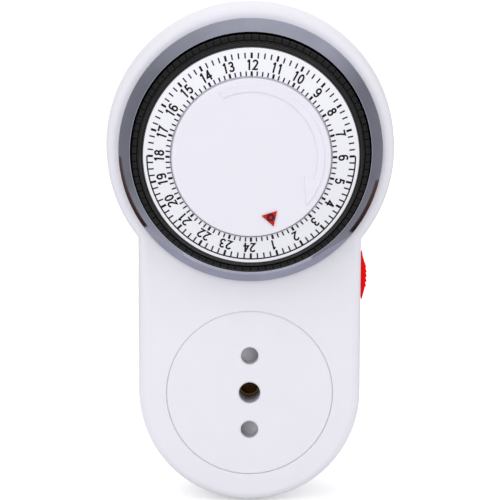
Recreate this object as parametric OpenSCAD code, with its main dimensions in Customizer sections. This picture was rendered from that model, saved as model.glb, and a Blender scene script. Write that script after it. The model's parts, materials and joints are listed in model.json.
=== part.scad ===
// Plug-in 24 hour segment timer with a three-hole socket outlet and a three-pin plug.
// The origin is the root of the earth pin on the plug face. +Y goes into the wall,
// -Y comes out to the user and +Z is up. Pieces are drawn lying on their backs, with
// x to the right, y up the wall and z (the height h) out to the user. upright() then
// stands them up.

/* [Casing] */
// Distance from the socket's centre up to the dial's centre
centre_gap = 62; // [60:0.5:66]
// Radius of the casing around the dial, at the parting line
dial_end_r = 36.4; // [36:0.1:40]
// Radius of the casing around the socket, at the parting line
socket_end_r = 28.3; // [27.8:0.1:31]
// Thickness of the casing's walls and floor
wall = 2; // [1.6:0.1:2.2]
// Height of the casing's back above the plug face
back_h = 6; // [5:0.5:7]
// Depth of the rear casing, from its back to the parting line
rear_depth = 20.5; // [20.5:0.5:24]
// Depth of the front casing, from the parting line to its face
front_depth = 10.5; // [10:0.5:13]
// How far the rear casing draws in towards its back
rear_draft = 2; // [0.5:0.1:2.4]
// How far the front casing draws in towards its face
front_draft = 0.4; // [0.4:0.1:1.4]
// Radius of the rounded front edge
front_round = 2.1; // [1:0.1:2.4]
// Radius of the rounded rear edge
rear_round = 2; // [1:0.1:2.5]

/* [Bezel] */
// Distance from the casing's outline in to the plated ring
bezel_border = 3.4; // [3.3:0.1:4]
// Radial width of the plated ring
bezel_w = 3.15; // [3:0.05:3.3]
// Width of the plated ring that rests on the casing's face
bezel_lap = 2; // [1.6:0.1:2.1]
// Height of the plated ring above the casing's face
bezel_rise = 5.2; // [4:0.1:6]

/* [Dial] */
// Clearance between the circle of tappets and the plated ring
mouth_gap = 0.35; // [0.25:0.05:0.6]
// Radial depth of a tappet
tappet_depth = 3; // [2.8:0.1:3.2]
// Height of a tappet's foot below the casing's face
tappet_drop = 2; // [1.8:0.1:2.2]
// Length of a tappet, from its foot to its shoulder
tappet_l = 8.8; // [8.4:0.1:9]
// Travel of a tappet when it is pushed in
tappet_travel = 3; // [2.5:0.1:3]
// Gap between two tappets
tappet_gap = 0.2; // [0.1:0.05:0.3]
// Distance from the tappets' outer faces in to the white dial ring
rim_w = 2.85; // [2.7:0.05:3.1]
// Height of the dial ring's outer edge above the casing's face
dial_edge_rise = 11.1; // [10.8:0.1:12]
// Height that the dial ring gains towards the cap
dial_cone_rise = 2.5; // [1:0.1:3]
// Radius of the fixed centre cap
cap_r = 19.55; // [18:0.05:20]
// Thickness of the centre cap
cap_t = 1.6; // [1.4:0.1:1.8]
// Relief of the arrow on the cap
relief = 0.35; // [0.2:0.05:0.5]
// Bearing of the time pointer on the cap, in degrees from +X
pointer_bearing = -72; // [-80:1:-60]

/* [Gear train] */
// Module of the small gears
small_m = 0.25; // [0.24:0.005:0.255]
// Module of the dial's ring gear
ring_m = 0.4; // [0.39:0.005:0.405]
// Thickness of each wheel
wheel_t = 1; // [0.8:0.1:1]
// Radius of the fixed steel arbors
arbor_r = 0.4; // [0.3:0.05:0.45]
// Thickness of the gear plate
plate_t = 1.5; // [1.2:0.1:1.6]
// Radius of the motor's cup
cup_r = 13; // [12:0.1:13.2]
// Outer radius of the fixed post that the dial turns on
post_r = 3; // [2.6:0.1:3.4]

/* [Socket and plug] */
// Distance from the earth pin to each line pin
pin_pitch = 9.5; // [9.5:0.05:9.6]
// Radius of the plug pins
pin_r = 2; // [1.95:0.01:2.05]
// Length of the plug pins
pin_l = 19; // [18:0.5:20]
// Length of the sleeve on a line pin
sleeve_l = 10; // [8:0.5:11]
// Radius of the sleeve on a line pin
sleeve_r = 1.84; // [1.8:0.01:1.9]
// Radius of the two line holes
line_hole_r = 2.2; // [2.15:0.05:2.3]
// Radius of the earth hole
earth_hole_r = 2.7; // [2.65:0.05:2.8]
// Radius of the socket insert, at its visible seam
insert_r = 21; // [20.5:0.1:21]
// Radius of the raised plug face on the back
boss_r = 17; // [16:0.1:17.5]

/* [Switch] */
// Height of the override slide's grip along the side
grip_l = 12.7; // [11:0.1:13]
// Width of the override slide's grip
grip_w = 4.9; // [4:0.1:5]
// How far the grip stands out of the side
grip_rise = 1.2; // [0.8:0.1:1.6]
// Travel of the override slide
slide_travel = 4; // [3:0.5:4]
// Distance from the dial's centre down to the grip's centre
grip_drop = 33.3; // [33:0.1:34]

/* [Clearances] */
// Radial clearance of a part that turns on another
running = 0.05; // [0.03:0.01:0.08]
// Clearance around a part that slides
sliding = 0.15; // [0.1:0.01:0.16]
// Play of meshed teeth, measured along the pitch circle
tooth_play = 0.06; // [0.04:0.01:0.08]

/* [Hidden] */

casing_white = "whitesmoke";
cut = 0.1;               // how far a cutting tool runs past the surface that it cuts
seat_gap = 0.1;          // clearance between two pieces that are assembled by hand
$fn = 96;

// Heights
floor_h = back_h + wall;
parting_h = back_h + rear_depth;
face_h = parting_h + front_depth;
ceiling_h = face_h - wall;

// Casing screws: two beside the dial, two beside the socket
screw_head_r = 1.7;
screw_r = 0.95;
screw_post_r = 2.3;
screw_head_l = 1.8;
screw_seat_h = floor_h + 4;
screw_top_h = ceiling_h - 2;
dial_screw_bearings = [42, 138];
socket_screw_bearings = [-45, -135];
screw_inset = 4.1;       // from the casing's outline at the parting line in to a screw
cross_size = [2.2, 0.4, 1];  // one bar of the cross in a screw's head

// Bezel and dial opening
bezel_r = dial_end_r - bezel_border;
bezel_mouth_r = bezel_r - bezel_w;
opening_r = bezel_r - bezel_lap;
bezel_skirt_r = opening_r - seat_gap;
bezel_foot = 0.8;        // upright edge where the ring meets the face
bezel_rim = 0.6;         // rounded inner edge of the ring
bezel_swell = 0.35;      // how far the flank stands out from a straight cone

// Tappets and their carrier
tappet_count = 96;
tappet_step = 360 / tappet_count;
bank_size = 8;
tappet_r = bezel_mouth_r - mouth_gap;
dial_ring_r = tappet_r - rim_w;
tappet_inner_r = tappet_r - tappet_depth;
tappet_foot_h = face_h - tappet_drop;
tip_rise = 1.2;
tappet_shoulder_h = tappet_foot_h + tappet_l;
tappet_tip_h = tappet_shoulder_h + tip_rise;
tip_depth = 1.15;        // radial depth of the tip that shows beside the carrier's rim
tip_bevel = 0.3;
tongue_w = 0.85;         // width of the tongue that keeps a tappet in its slot
tongue_l = 1.2;          // radial length of the tongue
drum_r = tappet_inner_r - 0.2;
slot_floor_r = drum_r - tongue_l;
slot_w = tongue_w + 2 * sliding;
slot_foot_h = tappet_foot_h - tappet_travel - 0.2;
rim_h = tappet_shoulder_h + 0.1;
rim_r = tappet_r - tip_depth - 0.25;
ridge_count = 3;
ridge_w = (rim_r - dial_ring_r - seat_gap - 0.4) / ridge_count;
dial_edge_h = face_h + dial_edge_rise;
shoulder_h = dial_edge_h - 2.1;   // the flat that carries the dial ring
ridge_h = (dial_edge_h - 1 - rim_h) / (ridge_count + 1);
dial_ring_t = 1.6;

// Ring gear and the pinion that drives it
dial_ratio = 10;         // turns of the pinion in one turn of the dial
ring_wall = 1.9;         // least thickness from the ring gear's pitch circle to the drum's outside
dial_pinion_teeth = floor(2 * (drum_r - ring_wall) / ring_m / dial_ratio);
ring_teeth = dial_ratio * dial_pinion_teeth;
ring_shift = 0.3;
ring_r = ring_teeth * ring_m / 2;
ring_gear_t = 3;

// Gear train, from the rotor (0) to the clutch wheel (5)
pinion_teeth = 10;
wheel_teeth = [60, 75, 80, 100, 100];
pinion_shift = 0.41;
pinion_topping = 0.22;   // share of a module that the pinions' pointed tips lose
pressure = 20;           // pressure angle of all the teeth
motor_room = 8.8;        // clear height under the gear plate
plate_h = floor_h + motor_room;
plate_top_h = plate_h + plate_t;
plate_r = dial_end_r - 7.9;
plate_post_r = 2.5;
level_gap = 0.35;        // clear height between two levels
level_pitch = wheel_t + level_gap;
hub_r = 1;
arbor_bore_r = arbor_r + running;
// Bearing of the clutch arbor from the dial's centre, then of each arbor from the one after it
clutch_bearing = -120;
arbor_bearings = [310, 50, 60, 90, 125];

function polar(r, a) = [r * cos(a), r * sin(a)];
function mesh_gap(k) = (pinion_teeth + wheel_teeth[k - 1]) * small_m / 2;
function arbor_at(k) = k == 5
    ? polar(ring_r - dial_pinion_teeth * ring_m / 2, clutch_bearing)
    : arbor_at(k + 1) + polar(mesh_gap(k + 1), arbor_bearings[k]);
function level_h(k) = plate_top_h + level_gap + (k - 1) * level_pitch;

spring_t = 0.7;          // height of the clutch's cupped washer
flange_t = 0.5;
flange_r = 4;
clutch_h = level_h(5) + wheel_t;
dial_pinion_h = clutch_h + spring_t + flange_t;
drum_gap = 0.75;         // clear height between the pinion's flange and the drum
drum_foot_h = dial_pinion_h + drum_gap;
dial_pinion_top_h = drum_foot_h + ring_gear_t - 0.3;

// Centre post and cap
post_foot_r = post_r + 1.5;
dial_hub_r = post_r + 2.5;
web_t = 2;
web_top_h = rim_h - 0.4;
cap_h = dial_edge_h + dial_cone_rise + 1.1;
cap_back_h = cap_h - cap_t;
post_top_h = cap_back_h - 2.9;
hub_top_h = post_top_h - 0.3;
spigot_r = 1.5;
spigot_l = 7;
cap_edge = 0.4;
cap_skirt_l = 2.2;       // how far the cap's skirt reaches back inside the dial ring
cap_skirt_t = 0.8;
dial_bore_r = cap_r + 0.4;
arrow_inner_r = cap_r * 0.83;
arrow_outer_r = cap_r * 0.92;
arrow_barb_r = cap_r * 0.705;
arrow_tail = 116;        // bearings of the arrow's tail, shoulder and tip
arrow_shoulder = -19;
arrow_tip = -41;
pointer_r = cap_r * 0.74; // distance of the pointer's base from the centre
pointer_l = 3.4;
pointer_w = 4;
pointer_ring_r = 1.1;
pointer_pip_r = 0.35;

// Motor
cup_t = 0.8;
coil_r = cup_r - cup_t - 0.3;
coil_bore_r = 6.7;
coil_h = floor_h + cup_t + 0.1;
motor_plate_h = plate_h - 1.2;
magnet_r = 5.5;
magnet_h = coil_h + 0.7;
claw_count = 12;
claw_w = 1.2;
claw_t = 0.5;
claw_l = 4.6;

// Plug and contacts
contact_bore_r = pin_r + 0.1;
tube_r = contact_bore_r + 0.8;
collar_r = earth_hole_r + 1.2;
core_r = pin_r - 0.5;
shank_r = pin_r + 0.5;
pin_head_r = 3;
pin_head_h = 7;
pin_head_t = 2;
pin_nose = 0.8;
contact_h = floor_h + 5;
contact_floor = 1.2;
contact_top_h = ceiling_h - 4.8;
flare = 0.35;
slit_w = 0.6;
slit_foot = 3;           // height of a contact's slit above its floor
tower_r = 4.2;
earth_tower_r = 5.2;
tower_top_h = contact_h + 5;
base_flange_r = boss_r + 1.5;
base_flange_t = 2;
tag_w = 2;
tag_t = 1;
tag_l = 6.5;             // reach of a soldering tag to each side of its pin
pin_tag_h = floor_h + 3;
contact_tag_h = tower_top_h + 2.2;

// Socket insert and shutter
insert_flange_r = insert_r + 0.7;
insert_flange_t = 1.6;
insert_back_h = ceiling_h - insert_flange_t;
insert_edge = 0.3;
collar_foot_h = insert_back_h - 6.9;
earth_tower_top_h = collar_foot_h - seat_gap;
skirt_r = boss_r + 0.4;
skirt_t = 1.2;
skirt_window = 22;       // width of the openings above and below, for the wiring
shutter_t = 2.2;
shutter_h = insert_back_h - 0.2 - shutter_t;
shutter_hub_r = 6.4;
shutter_reach = pin_pitch + line_hole_r + 0.9;
wing_w = 2 * line_hole_r + 1.2;
wing_thin = 0.5;
spring_wire_r = 0.3;
spring_turns = 3;
spring_sides = 6;
spring_steps = 14;       // segments in one turn of the shutter's spring

// Switch and follower
station_bearing = -90 + 4.5 * tappet_step;
nose_r = tappet_r - tappet_depth / 2;
nose_at = [0, centre_gap] + polar(nose_r, station_bearing);
nose_w = 1.1;
nose_l = 2;
plate_x = socket_end_r - wall - 1.7;   // inner face of the override slide's plate
guide_t = 0.6;
lever_y = nose_at.y - 1.5;
switch_size = [18.6, 7.2];
switch_at = [plate_x - seat_gap - guide_t - 0.3 - switch_size.x, lever_y - switch_size.y / 2];
plate_flat = centre_gap - switch_at.y - switch_size.y - 0.4;   // dial's centre down to the plate's edge
switch_foot_h = floor_h + 6;
lever_room = 9.2;        // height of the room for the lever, between the switch and the tappets
switch_top_h = tappet_foot_h - lever_room;
seat_margin = 2;
terminal_inset = 4;
terminal_pitch = 11;
terminal_xs = [for (i = [0, 1]) switch_at.x + terminal_inset + i * terminal_pitch];
terminal_size = [0.6, 3.5, 3];
terminal_h = switch_foot_h + 3;
nose_top_h = tappet_foot_h - 0.2;
lever_w = 2.5;
lever_t = 1.6;
lever_h = tappet_foot_h - tappet_travel - 1 - lever_t;
pivot_x = switch_at.x + switch_size.x - 2.1;
pivot_h = lever_h + lever_t / 2;
pivot_r = 0.85;
pivot_boss_r = 1.7;
ear_t = 0.8;
plunger_r = 1;
plunger_x = pivot_x - 4.7;
plunger_foot_h = switch_top_h - 3;
plunger_top_h = lever_h - 0.1;
plunger_nose = 0.7;

// Override slide
grip_at_y = centre_gap - grip_drop;
slide_plate_t = 1;
slide_plate_w = grip_w + 3;
slide_cover = 0.5;       // overlap of the slide's plate past the slot's ends
stem_l = 3.6;            // the stem that joins the grip to the plate through the slot
stem_w = 3;
grip_arc_r = (pow(grip_l / 2, 2) + pow(grip_rise, 2)) / (2 * grip_rise);
grip_steps = 12;
rib_count = 5;
rib_pitch = 1.22;
rib_r = 0.35;

// Wiring: routes as [x, y, h]
lead_r = 0.8;
lead_sides = 8;
supply_route = [[6.6, 9.5, 11.5], [7.8, 9.5, 11.5], [9.2, 11.4, 11.5], [9.6, 16, 12],
                [9.3, 21, 14.5], [9, 23.6, 17.3], [9, 25.2, 18.5], [9, 26.5, 18.5]];
load_route = [[6.6, 9.5, 20.7], [7.8, 9.5, 20.7], [9.4, 12.2, 20.5], [10, 17.5, 19.5], [13, 21, 18.8],
              [17, 22.5, 18.5], [19.6, 23.6, 18.5], [20, 25.2, 18.5], [20, 26.5, 18.5]];
motor_live_route = [[-6.6, 9.5, 11.5], [-7.8, 9.5, 11.5], [-9.2, 12.5, 11.3], [-9.5, 19, 11], [-9, 29, 11],
                    [-6, 42, 11], [-2, 54, 11], [1, 62, 11.2], [2, 67.7, 11.5]];
motor_neutral_route = [[-6.6, -9.5, 20.7], [-7.8, -9.5, 20.7], [-8.6, -13, 19.5],
                       [-9.8, -16.5, 16], [-14, -14, 12.8],
                       [-18.5, -7, 11.6], [-20, 2, 11], [-20, 14, 11], [-18, 28, 11],
                       [-13, 42, 11], [-9.5, 54, 11], [-6.4, 63, 11.2], [-5.2, 68.3, 11.5]];

// ---- Helpers ----

module upright() { rotate([90, 0, 0]) children(); }

// Moves to the dial's centre
module at_dial() { translate([0, centre_gap, 0]) children(); }

// Moves to an arbor of the train
module at_arbor(k) { at_dial() translate([arbor_at(k).x, arbor_at(k).y, 0]) children(); }

// A straight cylinder between two heights
module rod(r, low, high) { translate([0, 0, low]) cylinder(r = r, h = high - low); }

// A straight tube between two heights
module tube(r, bore, low, high) {
    difference() {
        rod(r, low, high);
        rod(bore, low - cut, high + cut);
    }
}

// The casing's outer form between two heights. A profile is a list of [inset, height],
// and the inset is measured in from the outline at the parting line.
module casing_form(profile) {
    first = profile[0];
    last = profile[len(profile) - 1];
    at_dial() rotate_extrude()
        polygon(concat([[0, first[1]]], [for (p = profile) [dial_end_r - p[0], p[1]]], [[0, last[1]]]));
    rotate([0, 0, 180]) rotate_extrude(angle = 180)
        polygon(concat([[0, first[1]]], [for (p = profile) [socket_end_r - p[0], p[1]]], [[0, last[1]]]));
    at_dial() rotate([90, 0, 0]) linear_extrude(centre_gap)
        polygon(concat([for (p = profile) [socket_end_r - p[0], p[1]]],
                       [for (i = [len(profile) - 1:-1:0]) [profile[i][0] - socket_end_r, profile[i][1]]]));
}

module rear_form() {
    casing_form(concat([for (a = [0:22.5:90]) [rear_draft + rear_round * (1 - sin(a)),
                                               back_h + rear_round * (1 - cos(a))]],
                       [[0, parting_h]]));
}

module front_form() {
    casing_form(concat([[0, parting_h]],
                       [for (a = [0:15:90]) [front_draft + front_round * (1 - cos(a)),
                                             face_h - front_round * (1 - sin(a))]]));
}

// Places children at the four casing screws
module at_case_screws() {
    for (a = dial_screw_bearings) at_dial() translate(polar(dial_end_r - screw_inset, a)) children();
    for (a = socket_screw_bearings) translate(polar(socket_end_r - screw_inset, a)) children();
}

// Places children at the four posts that carry the gear plate
module at_plate_screws() {
    for (a = [45:90:315]) at_dial() translate(polar(plate_r - plate_post_r, a)) children();
}

// The slot in the side wall that the override slide's stem moves in
module slide_slot() {
    low = grip_at_y - stem_l / 2 - slide_travel - sliding;
    high = grip_at_y + stem_l / 2 + sliding;
    width = stem_w + 2 * sliding;
    translate([socket_end_r - wall - 2, low, parting_h - width / 2])
        cube([wall + 4, high - low, width]);
}

// Involute function, in radians
function inv(a) = tan(a) - a * PI / 180;

// Half of a tooth's angle at radius r, in degrees, for z teeth of module m and shift x
function tooth_half(z, m, x, play, r) =
    let (pitch_r = z * m / 2, base_r = pitch_r * cos(pressure), at_r = max(r, base_r))
    ((PI / 2 + 2 * x * tan(pressure)) / z - play / (2 * pitch_r)
     + inv(pressure) - inv(acos(base_r / at_r))) * 180 / PI;

// Outline of a gear with a tooth centred on +X. radii runs from the root to the tip.
module gear_outline(z, m, x, play, radii) {
    rising = [for (r = radii) [r, -tooth_half(z, m, x, play, r)]];
    falling = [for (i = [len(radii) - 1:-1:0]) [radii[i], -rising[i][1]]];
    polygon([for (i = [0:z - 1]) for (p = concat(rising, falling)) polar(p[0], i * 360 / z + p[1])]);
}

// A pinion of the small module, with its teeth from low to high
module small_pinion(low, high) {
    pitch_r = pinion_teeth * small_m / 2;
    root_r = pitch_r - small_m * (1.25 - pinion_shift);
    tip_r = pitch_r + small_m * (1 + pinion_shift - pinion_topping);
    translate([0, 0, low]) linear_extrude(high - low)
        gear_outline(pinion_teeth, small_m, pinion_shift, tooth_play,
                     [root_r, (root_r + pitch_r) / 2, (pitch_r + tip_r) / 2, tip_r]);
}

// A tube swept along a route, closed at both ends
module swept(route, r, sides) {
    n = len(route);
    function unit(v) = v / norm(v);
    headings = [for (i = [0:n - 1]) unit(route[min(i + 1, n - 1)] - route[max(i - 1, 0)])];
    rings = [for (i = [0:n - 1])
        let (t = headings[i], s = unit(cross(t, abs(t.z) > 0.9 ? [1, 0, 0] : [0, 0, 1])), u = cross(s, t))
        for (j = [0:sides - 1]) route[i] + r * (cos(j * 360 / sides) * s + sin(j * 360 / sides) * u)];
    polyhedron(rings, concat(
        [[for (j = [0:sides - 1]) j]],
        [for (i = [0:n - 2]) for (j = [0:sides - 1]) let (k = (j + 1) % sides)
            [i * sides + j, (i + 1) * sides + j, (i + 1) * sides + k, i * sides + k]],
        [[for (j = [sides - 1:-1:0]) (n - 1) * sides + j]]));
}

// ---- Casing ----

module front_casing() {
    color(casing_white) upright() difference() {
        union() {
            difference() {
                front_form();
                casing_form([[wall, parting_h - cut], [front_draft + wall, ceiling_h]]);
            }
            intersection() {
                front_form();
                at_case_screws() rod(screw_post_r, parting_h, ceiling_h + cut);
            }
        }
        at_dial() rod(opening_r, parting_h, face_h + cut);
        rod(insert_r + running, ceiling_h - cut, face_h + cut);
        at_case_screws() rod(screw_r + running, parting_h - cut, screw_top_h + 0.3);
        slide_slot();
    }
}

module rear_casing() {
    color(casing_white) upright() difference() {
        union() {
            difference() {
                rear_form();
                casing_form([[rear_draft + wall, floor_h], [wall, parting_h + cut]]);
            }
            intersection() {
                rear_form();
                at_case_screws() rod(screw_post_r, back_h, parting_h);
            }
            at_plate_screws() rod(plate_post_r, floor_h - cut, plate_h);
            switch_seat();
            slide_guide();
        }
        rod(boss_r + seat_gap, back_h - cut, floor_h + cut);
        at_case_screws() rod(screw_head_r + seat_gap, back_h - cut, screw_seat_h);
        at_case_screws() rod(screw_r + seat_gap, screw_seat_h - cut, parting_h + cut);
        at_plate_screws() rod(screw_r, floor_h + 1, plate_h + cut);
        slide_slot();
    }
}

// Pedestal under the switch
module switch_seat() {
    translate([switch_at.x + seat_margin, switch_at.y + 1, floor_h - cut])
        cube([switch_size.x - 2 * seat_margin, switch_size.y - 2, switch_foot_h - floor_h + cut]);
}

// Rib that keeps the override slide against the side wall
module slide_guide() {
    translate([plate_x - seat_gap - guide_t, grip_at_y - grip_l / 2, floor_h - cut])
        cube([guide_t, grip_l, parting_h - floor_h]);
}

module bezel_ring() {
    steps = 6;
    // The flank swells a little on its way from the foot up to the rim
    foot = [bezel_r, face_h + bezel_foot];
    top = [bezel_mouth_r + bezel_rim, face_h + bezel_rise];
    flank = [for (i = [0:steps]) let (t = i / steps)
        foot + t * (top - foot) + bezel_swell * sin(180 * t) * [1, 0]];
    color("silver") upright() at_dial() rotate_extrude() polygon(concat(
        [[bezel_mouth_r, ceiling_h - seat_gap], [bezel_skirt_r, ceiling_h - seat_gap],
         [bezel_skirt_r, face_h], [bezel_r, face_h]],
        flank,
        [[bezel_mouth_r + bezel_rim / 3, face_h + bezel_rise - bezel_rim / 12],
         [bezel_mouth_r, face_h + bezel_rise - bezel_rim / 2]]));
}

module case_screws() {
    color("silver") upright() at_case_screws() difference() {
        union() {
            rod(screw_head_r, screw_seat_h - screw_head_l, screw_seat_h);
            rod(screw_r, screw_seat_h - cut, screw_top_h);
        }
        for (a = [0, 90]) rotate([0, 0, a])
            translate([-cross_size.x / 2, -cross_size.y / 2, screw_seat_h - screw_head_l - cut])
                cube(cross_size);
    }
}

// ---- Socket ----

module socket_face() {
    color(casing_white) upright() difference() {
        union() {
            rod(insert_r, ceiling_h - cut, face_h - insert_edge);
            translate([0, 0, face_h - insert_edge])
                cylinder(r1 = insert_r, r2 = insert_r - insert_edge, h = insert_edge);
            rod(insert_flange_r, insert_back_h, ceiling_h);
            rod(collar_r, collar_foot_h, insert_back_h + cut);
            difference() {
                tube(skirt_r, skirt_r - skirt_t, floor_h + base_flange_t, insert_back_h + cut);
                translate([-skirt_window / 2, -skirt_r - 1, floor_h])
                    cube([skirt_window, 2 * skirt_r + 2, insert_back_h - floor_h]);
            }
        }
        rod(earth_hole_r, collar_foot_h - cut, face_h + cut);
        for (y = [-pin_pitch, pin_pitch]) translate([0, y, 0])
            rod(line_hole_r, insert_back_h - cut, face_h + cut);
        hole_bevel(0, earth_hole_r);
        for (y = [-pin_pitch, pin_pitch]) hole_bevel(y, line_hole_r);
    }
}

// The small bevel at the mouth of a socket hole
module hole_bevel(y, r) {
    translate([0, y, face_h - insert_edge])
        cylinder(r1 = r, r2 = r + insert_edge + cut, h = insert_edge + cut);
}

module socket_shutter() {
    color("gray") upright() difference() {
        union() {
            rod(shutter_hub_r, shutter_h, shutter_h + shutter_t);
            for (a = [0, 180]) rotate([0, 0, a]) shutter_wing();
        }
        rod(collar_r + running, shutter_h - cut, shutter_h + shutter_t + cut);
    }
}

// One wing, with the ramp that a plug's pin pushes aside
module shutter_wing() {
    half = wing_w / 2;
    translate([0, shutter_reach, 0]) rotate([90, 0, 0]) linear_extrude(shutter_reach - shutter_hub_r + 1)
        polygon([[-half, shutter_h], [half, shutter_h], [half, shutter_h + wing_thin],
                 [-half, shutter_h + shutter_t - 0.1]]);
}

module shutter_spring() {
    low = earth_tower_top_h + spring_wire_r;
    rise = shutter_h - earth_tower_top_h - 2 * spring_wire_r - 0.1;
    mean_r = collar_r + 0.4 + spring_wire_r;
    color("silver") upright() swept(
        [for (i = [0:spring_turns * spring_steps])
            let (a = i * 360 / spring_steps)
            [mean_r * cos(a), mean_r * sin(a), low + rise * i / (spring_turns * spring_steps)]],
        spring_wire_r, spring_sides);
}

// A brass tube with a slit, a flared mouth and a closed foot
module contact_tube(r, bore, low, high) {
    difference() {
        rod(r, low, high);
        rod(bore, low + contact_floor, high + cut);
        translate([0, 0, high - flare]) cylinder(r1 = bore, r2 = bore + flare + cut, h = flare + cut);
        translate([-slit_w / 2, 0, low + contact_floor + slit_foot]) cube([slit_w, r + 1, high - low]);
    }
}

module line_contacts() {
    color("gold") upright() for (y = [-pin_pitch, pin_pitch]) translate([0, y, 0]) {
        contact_tube(tube_r, contact_bore_r, contact_h, contact_top_h);
        for (s = [-1, 1]) soldering_tag(s, tube_r - 0.3, contact_tag_h);
    }
}

// A flat tag that runs out to one side of a pin or a tube
module soldering_tag(side, from, low) {
    translate([side > 0 ? from : -tag_l, -tag_w / 2, low]) cube([tag_l - from, tag_w, tag_t]);
}

module earth_contact() {
    color("gold") upright() contact_tube(tube_r, contact_bore_r, contact_h, earth_tower_top_h);
}

// ---- Plug ----

module plug_base() {
    color(casing_white) upright() difference() {
        union() {
            rod(boss_r, 0, floor_h + cut);
            rod(base_flange_r, floor_h, floor_h + base_flange_t);
            rod(earth_tower_r, floor_h, earth_tower_top_h);
            for (y = [-pin_pitch, pin_pitch]) translate([0, y, 0]) rod(tower_r, floor_h, tower_top_h);
        }
        for (y = [-pin_pitch, 0, pin_pitch]) translate([0, y, 0]) {
            rod(shank_r, -cut, pin_head_h + cut);
            rod(pin_head_r, pin_head_h, contact_h + cut);
        }
        rod(tube_r + running, contact_h, earth_tower_top_h + cut);
        for (y = [-pin_pitch, pin_pitch]) translate([0, y, 0]) {
            rod(tube_r + running, contact_h, tower_top_h + cut);
            translate([-tag_l - 1, -tag_w / 2 - seat_gap, pin_tag_h - seat_gap])
                cube([2 * tag_l + 2, tag_w + 2 * seat_gap, tag_t + 2 * seat_gap]);
        }
    }
}

// A pin's shank and head inside the plug base, and its tail up to the contact
module pin_root(tail_h) {
    rod(shank_r, 0, pin_head_h);
    rod(pin_head_r, pin_head_h, pin_head_h + pin_head_t);
    rod(core_r, pin_head_h, tail_h);
}

// The free end of a pin, from its bare root down to the rounded nose
module pin_tip(from) {
    rod(pin_r, pin_nose - pin_l, -from);
    translate([0, 0, -pin_l]) cylinder(r1 = pin_r - pin_nose * 0.7, r2 = pin_r, h = pin_nose);
}

module line_pins() {
    color("silver") upright() for (y = [-pin_pitch, pin_pitch]) translate([0, y, 0]) {
        pin_root(y > 0 ? contact_h - 0.8 : contact_h);
        rod(core_r, -sleeve_l - cut, cut);
        pin_tip(sleeve_l);
        translate([-tag_l, -tag_w / 2, pin_tag_h]) cube([2 * tag_l, tag_w, tag_t]);
    }
}

module earth_pin() {
    color("silver") upright() {
        pin_root(contact_h);
        pin_tip(0);
    }
}

module pin_sleeves() {
    color("dimgray") upright() for (y = [-pin_pitch, pin_pitch]) translate([0, y, 0])
        tube(sleeve_r, core_r, -sleeve_l, 0);
}

// ---- Dial ----

module dial_ring() {
    foot_r = dial_ring_r - 1.3;
    color(casing_white) upright() at_dial() rotate_extrude() polygon([
        [foot_r, shoulder_h], [dial_ring_r, shoulder_h], [dial_ring_r, dial_edge_h - 0.25],
        [dial_ring_r - 0.25, dial_edge_h],
        [dial_bore_r, dial_edge_h + dial_cone_rise],
        [dial_bore_r, dial_edge_h + dial_cone_rise - dial_ring_t],
        [foot_r, dial_edge_h - dial_ring_t + 0.4]]);
}

module tappet_carrier() {
    ring_tip_r = ring_r - ring_m * (1 - ring_shift);
    ring_root_r = ring_r + ring_m * (1.25 + ring_shift);
    drum_bore_r = ring_tip_r - 0.5;
    rib_r_out = dial_bore_r + 1.2;
    color("black") upright() at_dial() {
        // Foot of the drum, with the ring gear's spaces cut inside it
        difference() {
            rod(drum_r + 0.1, drum_foot_h, slot_foot_h);
            translate([0, 0, drum_foot_h - cut]) linear_extrude(ring_gear_t + cut)
                rotate([0, 0, clutch_bearing])
                    gear_outline(ring_teeth, ring_m, ring_shift, -tooth_play, [ring_tip_r, ring_root_r]);
            rod(drum_bore_r, drum_foot_h, slot_foot_h + cut);
        }
        // Drum with one slot for each tappet
        difference() {
            translate([0, 0, slot_foot_h]) linear_extrude(rim_h - slot_foot_h) slotted_drum();
            rod(drum_bore_r, slot_foot_h - cut, rim_h + cut);
        }
        carrier_rim(drum_bore_r);
        tube(dial_hub_r, post_r + running, drum_foot_h, hub_top_h);
        tube(drum_bore_r + cut, dial_hub_r - cut, web_top_h - web_t, web_top_h);
        tube(rib_r_out, rib_r_out - 0.8, web_top_h - cut, dial_edge_h + dial_cone_rise * 0.8 - dial_ring_t);
    }
}

// Section of the drum, with slots around it and flat lands between them
module slotted_drum() {
    half_slot = asin(slot_w / 2 / drum_r);
    polygon([for (i = [0:tappet_count - 1])
        let (a = -90 + (i + 0.5) * tappet_step)
        for (p = [[drum_r, -tappet_step + half_slot], [drum_r, -half_slot],
                  [slot_floor_r, -half_slot], [slot_floor_r, half_slot]])
            polar(p[0], a + p[1])]);
}

// The rim over the tappets: steps that fall away from the dial ring's edge
module carrier_rim(bore) {
    ridges = [for (i = [0:ridge_count]) let (r = rim_r - i * ridge_w, h = rim_h + (i + 1) * ridge_h)
        for (p = [[r, h - 0.15], [r - 0.15, h]]) p];
    rotate_extrude() polygon(concat(
        [[bore, rim_h], [rim_r, rim_h]],
        ridges,
        [[dial_ring_r + seat_gap, dial_edge_h - 1], [dial_ring_r + seat_gap, shoulder_h],
         [bore, shoulder_h]]));
}

// One tappet, counted from the first quarter of an hour after midnight
module tappet(i) {
    span = tappet_step - tappet_gap / tappet_r * 180 / PI;
    color("black") upright() at_dial() rotate([0, 0, -90 + (i + 0.5) * tappet_step]) {
        rotate([0, 0, -span / 2]) rotate_extrude(angle = span) polygon([
            [tappet_inner_r, tappet_foot_h], [tappet_r, tappet_foot_h],
            [tappet_r, tappet_tip_h - tip_bevel], [tappet_r - tip_bevel, tappet_tip_h],
            [tappet_r - tip_depth, tappet_tip_h], [tappet_r - tip_depth, tappet_shoulder_h],
            [tappet_inner_r, tappet_shoulder_h]]);
        translate([slot_floor_r + 0.2, -tongue_w / 2, tappet_foot_h])
            cube([tappet_inner_r - slot_floor_r, tongue_w, tappet_shoulder_h - tappet_foot_h - 0.1]);
    }
}

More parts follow.
